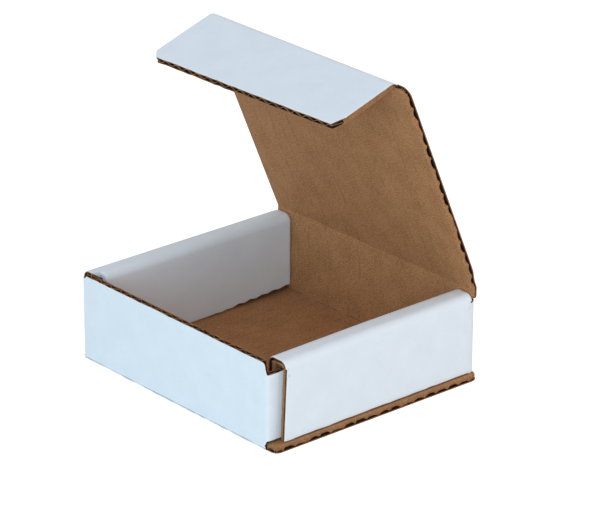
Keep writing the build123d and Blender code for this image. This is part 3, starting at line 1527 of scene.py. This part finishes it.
@dataclass(kw_only=True)
class LidPanel(Strip):
    """The lid, between the crease on the hinge wall and the crease of the tuck flap.

    Attributes:
        rear: The fold on the hinge wall.
        front: The fold of the tuck flap.
        rear_half: Half of the rear fold's length.
        front_half: Half of the front fold's length.
        length: Distance between the two folds.
        taper: Length over which the right side narrows towards the rear fold.
        left_ear: How far the corner beside the front fold stands back on the left.
    """

    rear: Hinge
    front: Hinge
    rear_half: float
    front_half: float
    length: float
    taper: float = 0.008
    left_ear: float = 0.006

    def joined(self, rim: Rim, across: float, along: float) -> bool:
        """The ends are raw only beside the two creases."""
        return rim is Rim.NEAR or (rim is Rim.FAR and abs(across) < self.front_half)

    def inset(self, rim: Rim, across: float, along: float, share: float) -> float:
        """The ends follow the seams of the two creases, and the sides narrow towards the rear one.

        Args:
            rim: The side.
            across: Place across the flutes.
            along: Place along the flutes.
            share: 0 on the kraft face, 1 on the white face.

        Returns:
            How far the side lies inside the lid's corners.
        """
        narrowed = self.high[0] - self.rear_half
        if rim is Rim.LEFT:
            return narrowed
        if rim is Rim.RIGHT:
            return narrowed * (1 - smooth((along - self.low[1]) / self.taper))
        if not self.joined(rim, across, along):
            return self.left_ear if across < 0 else 0.0
        if rim is Rim.NEAR:
            return self.rear.seam(share) - self.low[1]
        return self.high[1] - self.length + self.front.seam(share)


@dataclass(kw_only=True)
class FlapPanel(Strip):
    """The tuck flap, with the two corners of its front edge cut off.

    Attributes:
        rear: The fold on the lid.
        left_cut: Width and depth of the left corner's cut.
        right_cut: Width and depth of the right corner's cut.
        skew: How far the front edge's ends are out of square, each way.
    """

    rear: Hinge
    left_cut: Point
    right_cut: Point
    skew: float

    def columns(self, ply: Ply) -> list[float]:
        """Adds points where the cut corners start."""
        extra = {self.low[0] + self.left_cut[0], self.high[0] - self.right_cut[0]}
        return sorted(set(super().columns(ply)) | extra)

    def place(self, across: float, along: float, share: float) -> Vector:
        """Lays the flap on its plane, with its corners cut and its front edge a little askew.

        Args:
            across: Place across the flutes.
            along: Place along the flutes.
            share: 0 on the kraft face, 1 on the white face.

        Returns:
            The point, in the frame of the box.
        """
        width, depth = self.left_cut if across < 0 else self.right_cut
        inside = min(across - self.low[0], self.high[0] - across)
        if inside < width:
            middle = (self.low[1] + self.high[1]) / 2
            shorter = depth * (1 - inside / width)
            if along > middle:
                along -= shorter * (along - middle) / (self.high[1] - middle)
        askew = self.skew * across / self.high[0] * (along - self.low[1]) / (self.high[1] - self.low[1])
        return super().place(across, along - askew, share)

    def inset(self, rim: Rim, across: float, along: float, share: float) -> float:
        """The rear end follows the seam of its crease."""
        return self.rear.seam(share) - self.low[1] if rim is Rim.NEAR else 0.0


# Papers


class Nodes:
    """A node tree with short calls to fill it."""

    def __init__(self, tree: bpy.types.NodeTree) -> None:
        """Empties the tree.

        Args:
            tree: The tree of a material, a world or a node group.
        """
        self.tree = tree
        tree.nodes.clear()

    def add(self, kind: str, inputs: dict | None = None, **settings: object) -> bpy.types.Node:
        """Adds a node.

        Args:
            kind: Its type, without the word ShaderNode.
            inputs: Values or output sockets, by the name or index of the input.
            settings: Its own properties.

        Returns:
            The node.
        """
        node = self.tree.nodes.new(kind if kind.startswith("Node") else f"ShaderNode{kind}")
        for key, value in settings.items():
            setattr(node, key, value)
        for key, value in (inputs or {}).items():
            if isinstance(value, bpy.types.NodeSocket):
                self.tree.links.new(value, node.inputs[key])
            else:
                node.inputs[key].default_value = value
        return node

    def math(self, operation: str, *values: object, clamp: bool = False) -> bpy.types.NodeSocket:
        """Adds a sum of numbers and sockets.

        Args:
            operation: Its name.
            values: The numbers and sockets.
            clamp: Whether the result is kept between 0 and 1.

        Returns:
            The result's socket.
        """
        node = self.add("Math", dict(enumerate(values)), operation=operation, use_clamp=clamp)
        return node.outputs[0]

    def spread(self, value: object, low: object, high: object) -> bpy.types.NodeSocket:
        """Maps a range of a socket's values to the range from 0 to 1.

        Args:
            value: The socket.
            low: The value that becomes 0.
            high: The value that becomes 1.

        Returns:
            The result's socket.
        """
        inputs = {"Value": value, "From Min": low, "From Max": high, "To Min": 0.0, "To Max": 1.0}
        return self.add("MapRange", inputs).outputs[0]


class Pattern(Enum):
    """The effects that the papers share, each a node group."""

    FIBRE = "Paper fibre"
    WASHBOARD = "Flute washboard"
    FLECKS = "Flecks"


def pattern_group(pattern: Pattern, inputs: dict[str, float], outputs: Sequence[str]) -> tuple:
    """Starts a node group.

    Args:
        pattern: Its name.
        inputs: Its number inputs, with their defaults; it also gets a Vector input.
        outputs: Its outputs, all numbers.

    Returns:
        The group, its nodes and the node with its inputs.
    """
    group = bpy.data.node_groups.new(pattern.value, "ShaderNodeTree")
    group.interface.new_socket("Vector", in_out="INPUT", socket_type="NodeSocketVector")
    for name, value in inputs.items():
        socket = group.interface.new_socket(name, in_out="INPUT", socket_type="NodeSocketFloat")
        socket.default_value = value
    for name in outputs:
        group.interface.new_socket(name, in_out="OUTPUT", socket_type="NodeSocketFloat")
    nodes = Nodes(group)
    return group, nodes, nodes.add("NodeGroupInput")


@dataclass(frozen=True)
class Noise:
    """A noise on the paper.

    Attributes:
        scale: Its scale, in cells to the metre.
        detail: Number of its octaves.
        roughness: How strong the fine ones are.
    """

    scale: float
    detail: float
    roughness: float = 0.5

    def add(self, nodes: Nodes, place: bpy.types.NodeSocket) -> bpy.types.NodeSocket:
        """Adds the noise to a group.

        Args:
            nodes: The group's nodes.
            place: The place on the paper.

        Returns:
            The result's socket.
        """
        inputs = {"Vector": place, "Scale": self.scale, "Detail": self.detail, "Roughness": self.roughness}
        return nodes.add("TexNoise", inputs).outputs[0]


@dataclass(frozen=True)
class Fibre:
    """Paper's mottling: broad clouds, drawn-out fibres and fine grain.

    Attributes:
        clouds: The clouds.
        fibres: The fibres.
        stretch: How much narrower than long they are.
        grain: The grain.
        fibre_share: Share of the fibres in the paper's relief.
    """

    clouds: Noise = Noise(85.0, 3.0, 0.6)
    fibres: Noise = Noise(620.0, 4.0, 0.7)
    stretch: float = 3.2
    grain: Noise = Noise(1900.0, 2.0, 0.6)
    fibre_share: float = 0.6

    def group(self) -> bpy.types.NodeTree:
        """Builds the group.

        Returns:
            The group, with the outputs Shade, about 0, and Height, from 0 to 1.
        """
        inputs = {"Broad": 1.0, "Fine": 1.0}
        group, nodes, given = pattern_group(Pattern.FIBRE, inputs, ["Shade", "Height"])
        place = given.outputs["Vector"]
        broad = self.clouds.add(nodes, place)
        drawn = nodes.add("Mapping", {"Vector": place, "Scale": (1.0, self.stretch, 1.0)}).outputs[0]
        fibres = self.fibres.add(nodes, drawn)
        grain = self.grain.add(nodes, place)
        clouds = nodes.math("MULTIPLY", nodes.math("SUBTRACT", broad, 0.5), given.outputs["Broad"])
        threads = nodes.math("SUBTRACT", fibres, 0.5)
        dust = nodes.math("SUBTRACT", grain, 0.5)
        fine = nodes.math("MULTIPLY", nodes.math("ADD", threads, dust), given.outputs["Fine"])
        relief = nodes.math("MULTIPLY", fibres, self.fibre_share)
        pits = nodes.math("MULTIPLY", grain, 1 - self.fibre_share)
        shade, height = nodes.math("ADD", clouds, fine), nodes.math("ADD", relief, pits)
        nodes.add("NodeGroupOutput", {"Shade": shade, "Height": height})
        return group


@dataclass(frozen=True)
class Washboard:
    """The flutes showing through a liner: a shallow wave, and broken lines where the glue has drawn it in.

    Attributes:
        board: The board, for the pitch of its flutes.
        bends: The noise that makes the flutes wander.
        wander: How far they wander, in radians of the wave.
        gaps: The noise that breaks the lines.
        stretch: How much it is drawn out along the lines: the lower, the longer.
        gap_level: Its value under which a line doesn't show.
        full_level: Its value at which a line shows fully.
        line_power: Power that makes a line out of the wave: the higher, the thinner.
    """

    board: Board
    bends: Noise = Noise(60.0, 2.0)
    wander: float = 1.4
    gaps: Noise = Noise(330.0, 3.0, 0.65)
    stretch: float = 0.22
    gap_level: float = 0.5
    full_level: float = 0.72
    line_power: float = 9.0

    def group(self) -> bpy.types.NodeTree:
        """Builds the group.

        Returns:
            The group, with the outputs Wave and Lines, both from 0 to 1.
        """
        inputs = {"Breaks": self.gap_level}
        group, nodes, given = pattern_group(Pattern.WASHBOARD, inputs, ["Wave", "Lines"])
        place = given.outputs["Vector"]
        across = nodes.add("SeparateXYZ", {"Vector": place}).outputs[0]
        turn = nodes.math("MULTIPLY", across, math.tau / self.board.flute_pitch)
        astray = nodes.math("MULTIPLY", self.bends.add(nodes, place), self.wander)
        turned = nodes.math("ADD", turn, astray)
        wave = nodes.spread(nodes.math("COSINE", turned), -1, 1)
        drawn = nodes.add("Mapping", {"Vector": place, "Scale": (1.0, self.stretch, 1.0)}).outputs[0]
        shown = nodes.spread(self.gaps.add(nodes, drawn), given.outputs["Breaks"], self.full_level)
        thin = nodes.math("POWER", wave, self.line_power)
        lines = nodes.math("MULTIPLY", thin, nodes.math("MAXIMUM", shown, 0.0))
        nodes.add("NodeGroupOutput", {"Wave": wave, "Lines": lines})
        return group


@dataclass(frozen=True)
class Flecks:
    """Small specks, scattered thinly.

    Attributes:
        scale: Number of cells to the metre, each with a place for one speck.
        size: Radius of a speck, in cells.
        empty_share: Share of the cells without a speck.
    """

    scale: float = 620.0
    size: float = 0.2
    empty_share: float = 0.93

    def group(self) -> bpy.types.NodeTree:
        """Builds the group.

        Returns:
            The group, with the output Mask, from 0 to 1.
        """
        inputs = {"Scale": self.scale, "Size": self.size}
        group, nodes, given = pattern_group(Pattern.FLECKS, inputs, ["Mask"])
        outputs = given.outputs
        cells = nodes.add("TexVoronoi", {"Vector": outputs["Vector"], "Scale": outputs["Scale"]})
        chance = nodes.add("SeparateXYZ", {"Vector": cells.outputs["Color"]}).outputs[0]
        rare = nodes.math("GREATER_THAN", chance, self.empty_share)
        near = nodes.spread(cells.outputs["Distance"], outputs["Size"], 0.0)
        nodes.add("NodeGroupOutput", {"Mask": nodes.math("MULTIPLY", rare, near, clamp=True)})
        return group


@dataclass(frozen=True)
class Paper:
    """The finish of one paper face.

    Attributes:
        name: Name of the material.
        color: Its plain colour, linear.
        dark: Colour of its darker clouds and fibres.
        roughness: Roughness of the shader.
        broad: Strength of its clouds.
        fine: Strength of its fibres and grain.
        lines: Strength of the broken flute lines.
        flecks: Strength of its dark specks.
        wave_height: Height of the washboard, in metres.
        grain_height: Height of the fibres, in metres.
        crease_color: Colour that its folds rub to.
        crease: Strength of the rubbed folds.
        deep: Colour of the painted shade inside the flutes and in pressed corners, which also darkens the
            curl of a crushed liner.
        darkening: How far it turns to that colour.
        gloss: Specular level of the shader.
    """

    name: str
    color: tuple[float, float, float]
    dark: tuple[float, float, float]
    roughness: float
    broad: float
    fine: float
    lines: float
    flecks: float
    wave_height: float
    grain_height: float
    crease_color: tuple[float, float, float]
    crease: float
    deep: tuple[float, float, float] = (0.016, 0.006, 0.002)
    darkening: float = 0.95
    gloss: float = 0.3

    def material(self, groups: dict[Pattern, bpy.types.NodeTree]) -> bpy.types.Material:
        """Builds the material.

        Args:
            groups: The shared node groups.

        Returns:
            The material.
        """
        material = bpy.data.materials.new(self.name)
        material.use_nodes = True
        nodes = Nodes(material.node_tree)
        place = nodes.add("UVMap").outputs[0]
        fibre = nodes.add("Group", node_tree=groups[Pattern.FIBRE])
        board = nodes.add("Group", node_tree=groups[Pattern.WASHBOARD])
        flecks = nodes.add("Group", node_tree=groups[Pattern.FLECKS])
        for group in (fibre, board, flecks):
            nodes.tree.links.new(place, group.inputs["Vector"])
        fibre.inputs["Broad"].default_value = self.broad
        fibre.inputs["Fine"].default_value = self.fine
        lines = nodes.math("MULTIPLY", board.outputs["Lines"], self.lines)
        specks = nodes.math("MULTIPLY", flecks.outputs["Mask"], self.flecks)
        shade = nodes.math("ADD", nodes.math("ADD", fibre.outputs["Shade"], lines), specks)
        amount = nodes.math("ADD", shade, 0.5, clamp=True)
        paper = nodes.add("Mix", data_type="RGBA")
        nodes.tree.links.new(amount, paper.inputs["Factor"])
        lighter = tuple(2 * a - b for a, b in zip(self.color, self.dark))
        paper.inputs["A"].default_value = (*lighter, 1)
        paper.inputs["B"].default_value = (*self.dark, 1)
        fold = nodes.add("Attribute", attribute_name="crease").outputs["Fac"]
        uneven = nodes.math("MULTIPLY", fold, fibre.outputs["Height"])
        rubbed = nodes.math("MULTIPLY", uneven, self.crease, clamp=True)
        worn = nodes.add("Mix", data_type="RGBA")
        nodes.tree.links.new(rubbed, worn.inputs["Factor"])
        nodes.tree.links.new(paper.outputs["Result"], worn.inputs["A"])
        worn.inputs["B"].default_value = (*self.crease_color, 1)
        wave = nodes.math("MULTIPLY", board.outputs["Wave"], self.wave_height)
        height = nodes.math("ADD", wave, nodes.math("MULTIPLY", fibre.outputs["Height"], self.grain_height))
        bump = nodes.add("Bump", {"Height": height, "Distance": 1.0, "Strength": 1.0})
        shader = nodes.add("BsdfPrincipled", {"Normal": bump.outputs[0]})
        # Painted shade: the hidden attribute turns the colour towards deep inside raw edges and in pressed
        # inner corners, and darkens the crushed liner's curl.
        hidden = nodes.add("Attribute", attribute_name="hidden").outputs["Fac"]
        deep = nodes.add("Mix", data_type="RGBA")
        nodes.tree.links.new(nodes.math("MULTIPLY", hidden, self.darkening), deep.inputs["Factor"])
        nodes.tree.links.new(worn.outputs["Result"], deep.inputs["A"])
        deep.inputs["B"].default_value = (*self.deep, 1)
        nodes.tree.links.new(deep.outputs["Result"], shader.inputs["Base Color"])
        shader.inputs["Roughness"].default_value = self.roughness
        shader.inputs["Specular IOR Level"].default_value = self.gloss
        nodes.add("OutputMaterial", {"Surface": shader.outputs[0]})
        return material


WHITE_LINER = Paper(
    name="white_liner",
    color=(0.798, 0.824, 0.85),
    dark=(0.735, 0.765, 0.795),
    roughness=0.62,
    broad=0.8,
    fine=0.55,
    lines=0.0,
    flecks=0.5,
    wave_height=0.000012,
    grain_height=0.00001,
    crease_color=(0.81, 0.83, 0.85),
    crease=0.4,
)
KRAFT_LINER = Paper(
    name="kraft_liner",
    color=(0.405, 0.186, 0.075),
    dark=(0.275, 0.115, 0.041),
    roughness=0.8,
    broad=0.9,
    fine=2.3,
    lines=0.35,
    flecks=1.1,
    wave_height=0.00001,
    grain_height=0.00002,
    crease_color=(0.47, 0.235, 0.11),
    crease=0.7,
)
RAW_PAPER = Paper(
    name="raw_paper",
    color=(0.38, 0.175, 0.072),
    dark=(0.14, 0.058, 0.022),
    roughness=0.85,
    broad=0.9,
    fine=1.3,
    lines=0.0,
    flecks=0.6,
    wave_height=0.0,
    grain_height=0.00004,
    crease_color=(0.38, 0.175, 0.072),
    crease=0.0,
)


# Camera, floor and lights


@dataclass(frozen=True)
class View:
    """The photograph's view of the box: the camera's direction, distance and lens.

    Attributes:
        azimuth: The camera's direction from the box, where 0 is in front of it, in radians.
        elevation: Its height above the level, in radians.
        distance: Its distance from the point that it looks at, in metres.
        aim: That point, in the frame of the box.
        roll: Its turn about its line of sight, in radians.
        focal_pixels: Its focal length, in pixels of the photograph.
        width_pixels: Width of the photograph.
        sensor: Width of its sensor, in millimetres.
        clip: Nearest and furthest distance that it shows.
    """

    azimuth: float = math.radians(48.865)
    elevation: float = math.radians(22.917)
    distance: float = 1.3987
    aim: tuple[float, float, float] = (0.0148, -0.0004, 0.0541)
    roll: float = math.radians(0.225)
    focal_pixels: float = 3559.8
    width_pixels: float = 601.0
    sensor: float = 36.0
    clip: Point = (0.1, 20.0)

    def camera(self) -> bpy.types.Object:
        """Makes the camera and gives it to the scene.

        Returns:
            The camera.
        """
        data = bpy.data.cameras.new("camera")
        data.sensor_fit = "HORIZONTAL"
        data.sensor_width = self.sensor
        data.lens = self.focal_pixels / self.width_pixels * self.sensor
        data.clip_start, data.clip_end = self.clip
        camera = bpy.data.objects.new("camera", data)
        bpy.context.scene.collection.objects.link(camera)
        turn = Matrix.Rotation(self.azimuth, 4, "Z") @ Matrix.Rotation(math.pi / 2 - self.elevation, 4, "X")
        away = turn @ Vector((0, 0, self.distance))
        camera.matrix_world = (
            Matrix.Translation(Vector(self.aim) + away) @ turn @ Matrix.Rotation(self.roll, 4, "Z")
        )
        bpy.context.scene.camera = camera
        return camera


@dataclass(frozen=True)
class Lamp:
    """A square soft light that looks at the box.

    Attributes:
        name: Its name.
        azimuth: Its direction from the box, where 0 is in front of it, in degrees.
        elevation: Its height above the level, in degrees.
        distance: Its distance, in metres.
        size: Its side, in metres.
        power: Its power in each colour, in watts.
    """

    name: str
    azimuth: float
    elevation: float
    distance: float
    size: float
    power: tuple[float, float, float]

    def place(self) -> bpy.types.Object:
        """Makes the light.

        Returns:
            The light.
        """
        data = bpy.data.lights.new(self.name, "AREA")
        data.shape = "SQUARE"
        data.size = self.size
        data.energy = max(self.power)
        data.color = [part / data.energy for part in self.power]
        lamp = bpy.data.objects.new(self.name, data)
        bpy.context.scene.collection.objects.link(lamp)
        turn = Matrix.Rotation(math.radians(self.azimuth), 4, "Z") @ Matrix.Rotation(
            math.pi / 2 - math.radians(self.elevation), 4, "X"
        )
        lamp.matrix_world = Matrix.Translation(turn @ Vector((0, 0, self.distance))) @ turn
        return lamp


@dataclass(frozen=True)
class Studio:
    """A plain pale floor, a white background and soft lights.

    Attributes:
        floor_half: Half of the floor's side, in metres.
        floor_color: Colour of the floor, linear.
        floor_roughness: Roughness of the floor.
        floor_glow: How much brighter than lit the floor looks to the eye.
        world_color: Colour and strength of the light from all round.
        lamps: The soft lights.
    """

    floor_half: float = 3.0
    floor_color: tuple[float, float, float] = (0.82, 0.82, 0.82)
    floor_roughness: float = 0.9
    floor_glow: float = 0.62
    world_color: tuple[float, float, float] = (0.6, 0.61, 0.648)
    lamps: tuple[Lamp, ...] = (
        Lamp("front_light", azimuth=-20, elevation=26, distance=1.5, size=1.0, power=(0.66, 0.96, 1.1)),
        Lamp("right_light", azimuth=126, elevation=16, distance=1.5, size=1.0, power=(5.15, 4.2, 3.55)),
        Lamp("fill_light", azimuth=33, elevation=22, distance=1.5, size=1.2, power=(5.68, 8.9, 10.6)),
    )

    def world(self) -> None:
        """Lights the scene evenly, and shows white behind it."""
        world = bpy.data.worlds.new("studio_world")
        bpy.context.scene.world = world
        world.use_nodes = True
        nodes = Nodes(world.node_tree)
        tint = nodes.add("Mix", data_type="RGBA")
        nodes.tree.links.new(self._seen(nodes), tint.inputs["Factor"])
        tint.inputs["A"].default_value = (*self.world_color, 1)
        tint.inputs["B"].default_value = (1, 1, 1, 1)
        background = nodes.add("Background", {"Color": tint.outputs["Result"], "Strength": 1.0})
        nodes.add("OutputWorld", {"Surface": background.outputs[0]})

    @staticmethod
    def _seen(nodes: Nodes) -> bpy.types.NodeSocket:
        """Tells apart the rays that look at the ground from those that light the box.

        Args:
            nodes: The nodes of the world or of the floor's material.

        Returns:
            A socket that is 1 for rays from the camera, from gloss and through glass, otherwise 0.
        """
        path = nodes.add("LightPath")
        gloss = nodes.math("MAXIMUM", path.outputs["Is Glossy Ray"], path.outputs["Is Transmission Ray"])
        return nodes.math("MAXIMUM", path.outputs["Is Camera Ray"], gloss)

    def floor(self) -> bpy.types.Object:
        """Makes the floor: white to the eye, with the box's shadow on it.

        Returns:
            The floor.
        """
        mesh = bmesh.new()
        bmesh.ops.create_grid(mesh, x_segments=1, y_segments=1, size=self.floor_half)
        data = bpy.data.meshes.new("floor")
        mesh.to_mesh(data)
        mesh.free()
        floor = bpy.data.objects.new("floor", data)
        bpy.context.scene.collection.objects.link(floor)
        material = bpy.data.materials.new("floor_paint")
        material.use_nodes = True
        nodes = Nodes(material.node_tree)
        inputs = {"Base Color": (*self.floor_color, 1), "Roughness": self.floor_roughness}
        shader = nodes.add("BsdfPrincipled", inputs)
        shader.inputs["Specular IOR Level"].default_value = 0.0
        glow = nodes.math("MULTIPLY", self._seen(nodes), self.floor_glow)
        shader.inputs["Emission Color"].default_value = (1, 1, 1, 1)
        nodes.tree.links.new(glow, shader.inputs["Emission Strength"])
        nodes.add("OutputMaterial", {"Surface": shader.outputs[0]})
        data.materials.append(material)
        return floor

    def build(self) -> None:
        """Makes the floor, the world and the lights."""
        self.floor()
        self.world()
        for lamp in self.lamps:
            lamp.place()


# The whole box


@dataclass
class MailerBox:
    """The whole box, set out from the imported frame.

    Attributes:
        board: The board.
        rear: The fold between the hinge wall and the lid.
        front: The fold between the lid and the tuck flap.
        tray: The tray.
        rear_reach: Half of the lid's crease, straight across it.
        rear_fold: Radius of that fold in the white face.
        front_reach: Half of the tuck flap's crease, straight across it.
        front_fold: Radius of that fold in the white face.
        lid_overhang: How far the lid reaches past the sides.
        lid_start_gap: Gap between the hinge wall and the corners of the lid's rear end.
        lid_shoulder: Gap between those of its front end and the flap's plane.
        lid_front_radius: Radius of the lid's front corners.
        lid_seam_zone: Width of the lid's board that is drawn in to its seams.
        flap_side_gap: Gap between the tuck flap and the inside of the corner flaps.
        flap_reach: Distance between the flap's fold and its front edge.
        flap_skew: How far the ends of that edge are out of square, each way.
        left_cut: Width and depth of the flap's cut corner on the left.
        right_cut: Width and depth of that on the right.
        lid_lip: Shape of the lid's crushed edges.
        flap_lip: Shape of those of the tuck flap.
        crease_lip: Shape of those of the two creases.
    """

    board: Board
    rear: Hinge
    front: Hinge
    tray: Tray
    rear_reach: float = 0.0022
    rear_fold: float = 0.0015
    front_reach: float = 0.0024
    front_fold: float = 0.0035
    lid_overhang: float = 0.0003
    lid_start_gap: float = 0.0003
    lid_shoulder: float = 0.0001
    lid_front_radius: float = 0.0042
    lid_seam_zone: float = 0.016
    flap_side_gap: float = 0.00015
    flap_reach: float = 0.0332
    flap_skew: float = 0.0011
    left_cut: Point = (0.0038, 0.0036)
    right_cut: Point = (0.002, 0.0066)
    lid_lip: Lip = Lip(radius=0.0011, least=0.0003, most=0.0014, recess=0.0008, shade=0.1)
    flap_lip: Lip = Lip(radius=0.001, least=0.0, most=0.0005, recess=0.0002, shade=0.3)
    crease_lip: Lip = Lip(radius=0.0011, least=0.0002, most=0.0006, recess=0.0005)

    @classmethod
    def from_frame(cls) -> "MailerBox":
        """Reads the axes of the folds and the outer sizes off the frame.

        Returns:
            The box.
        """
        joints = {joint["name"]: joint for joint in frame["joints"]}
        lid_fold, tuck_fold = joints["lid_fold"], joints["tuck_fold"]
        tray_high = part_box("tray")[1]
        lid_axis, tuck_axis = lid_fold["pos_m"][1:], tuck_fold["pos_m"][1:]
        board = Board(thickness=2 * (tray_high.y - lid_axis[0]))
        lid_angle = -math.radians(lid_fold["range_deg"][0])
        flap_angle = lid_angle + math.radians(tuck_fold["range_deg"][0])
        rear = Hinge(tuple(lid_axis), math.pi / 2, lid_angle, cls.rear_reach, board, cls.rear_fold)
        front = Hinge(tuple(tuck_axis), lid_angle, flap_angle, cls.front_reach, board, cls.front_fold)
        tray = Tray(board, rear, half_width=tray_high.x, half_depth=tray_high.y)
        return cls(board, rear, front, tray)

    @property
    def lid_length(self) -> float:
        """Distance between the axes of the lid's two folds."""
        return (Vector(self.front.axis) - Vector(self.rear.axis)).length

    @property
    def flap_half(self) -> float:
        """Half of the tuck flap's width."""
        return self.tray.flap_in - self.flap_side_gap

    def _flat_path(self, hinge: Hinge, start: float, end: float) -> BoardPath:
        """Section of a flat panel that leaves a fold.

        Args:
            hinge: The fold.
            start: Distance between the fold and the panel's start.
            end: Distance between the fold and the panel's end.

        Returns:
            The section.
        """
        faces = []
        for share in (0, 1):
            origin = Vector(hinge.axis) + hinge.outward(hinge.leaving) * (2 * share - 1) * self.board.half
            ends = [tuple(origin + hinge.heading(hinge.leaving) * place) for place in (start, end)]
            faces.append(FacePath(ends))
        return BoardPath(*faces, first=start)

    def lid(self) -> LidPanel:
        """Sets out the lid.

        Returns:
            The panel.
        """
        half = self.tray.outer_out + self.lid_overhang
        start, end = self.board.half + self.lid_start_gap, self.lid_length - self.lid_shoulder
        return LidPanel(
            "lid_panel",
            self.board,
            low=(-half, start),
            high=(half, end),
            lips=frozenset(Rim),
            far_radius=self.lid_front_radius,
            seed=Seed.LID.value,
            lip=self.lid_lip,
            seam_zone=self.lid_seam_zone,
            breaks=(-self.flap_half, self.flap_half),
            path=self._flat_path(self.rear, start, end),
            rear=self.rear,
            front=self.front,
            rear_half=self.tray.hinge_half,
            front_half=self.flap_half,
            length=self.lid_length,
        )

    def flap(self) -> FlapPanel:
        """Sets out the tuck flap.

        Returns:
            The panel.
        """
        start = self.front.seam(1.0)
        return FlapPanel(
            "tuck_flap_panel",
            self.board,
            low=(-self.flap_half, start),
            high=(self.flap_half, self.flap_reach),
            lips=frozenset({Rim.LEFT, Rim.RIGHT}),
            cuts=frozenset({Rim.FAR}),
            seed=Seed.TUCK_FLAP.value,
            lip=self.flap_lip,
            path=self._flat_path(self.front, start, self.flap_reach),
            rear=self.front,
            left_cut=self.left_cut,
            right_cut=self.right_cut,
            skew=self.flap_skew,
        )

    def moving_crease(self, name: str, hinge: Hinge, half: float) -> Strip:
        """The short strip of board that bends in a fold between two panels; it is built in one shape, for
        the fold's present angle.

        Args:
            name: Name of the piece.
            hinge: The fold.
            half: Half of its length.

        Returns:
            The strip.
        """
        path = hinge.path()
        low, high = (-half, path.marks[0]), (half, path.marks[-1])
        lips = frozenset({Rim.LEFT, Rim.RIGHT})
        return Strip(name, self.board, low, high, lips=lips, lip=self.crease_lip, path=path)

    def build(self, finishes: Sequence[bpy.types.Material]) -> None:
        """Builds every piece, and gives each panel to its body; the two moving creases are built in place
        but given to no body.

        Args:
            finishes: The materials, in the order of Face.
        """
        tray = self.tray
        panels = [tray.base(), tray.base_crease(-1), tray.base_crease(1), tray.front_wall()]
        panels += [tray.rear_wall(), tray.hinge_strip(), tray.rolled_side(-1), tray.rolled_side(1)]
        for panel in panels:
            piece = panel.build(finishes)
            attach(piece, "tray")
            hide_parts("tray")
        for panel, node in ((self.lid(), "lid"), (self.flap(), "tuck_flap")):
            piece = panel.build(finishes)
            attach(piece, node)
            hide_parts(node)
        lid_crease = self.moving_crease("lid_crease", self.rear, tray.hinge_half).build(finishes)
        start, end = self.rear.ends()
        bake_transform(lid_crease)
        tuck_crease = self.moving_crease("tuck_crease", self.front, self.flap_half).build(finishes)
        start, end = self.front.ends()
        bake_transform(tuck_crease)


def main() -> None:
    """Builds the box, its papers, the studio and the camera."""
    logging.basicConfig(level=logging.INFO, format="%(message)s")
    bpy.context.scene.view_settings.view_transform = "Standard"
    box = MailerBox.from_frame()
    groups = {
        Pattern.FIBRE: Fibre().group(),
        Pattern.WASHBOARD: Washboard(box.board).group(),
        Pattern.FLECKS: Flecks().group(),
    }
    papers = {Face.WHITE: WHITE_LINER, Face.KRAFT: KRAFT_LINER, Face.RAW: RAW_PAPER}
    box.build([papers[face].material(groups) for face in Face])
    Studio().build()
    View().camera()


if __name__ == "__main__":
    main()
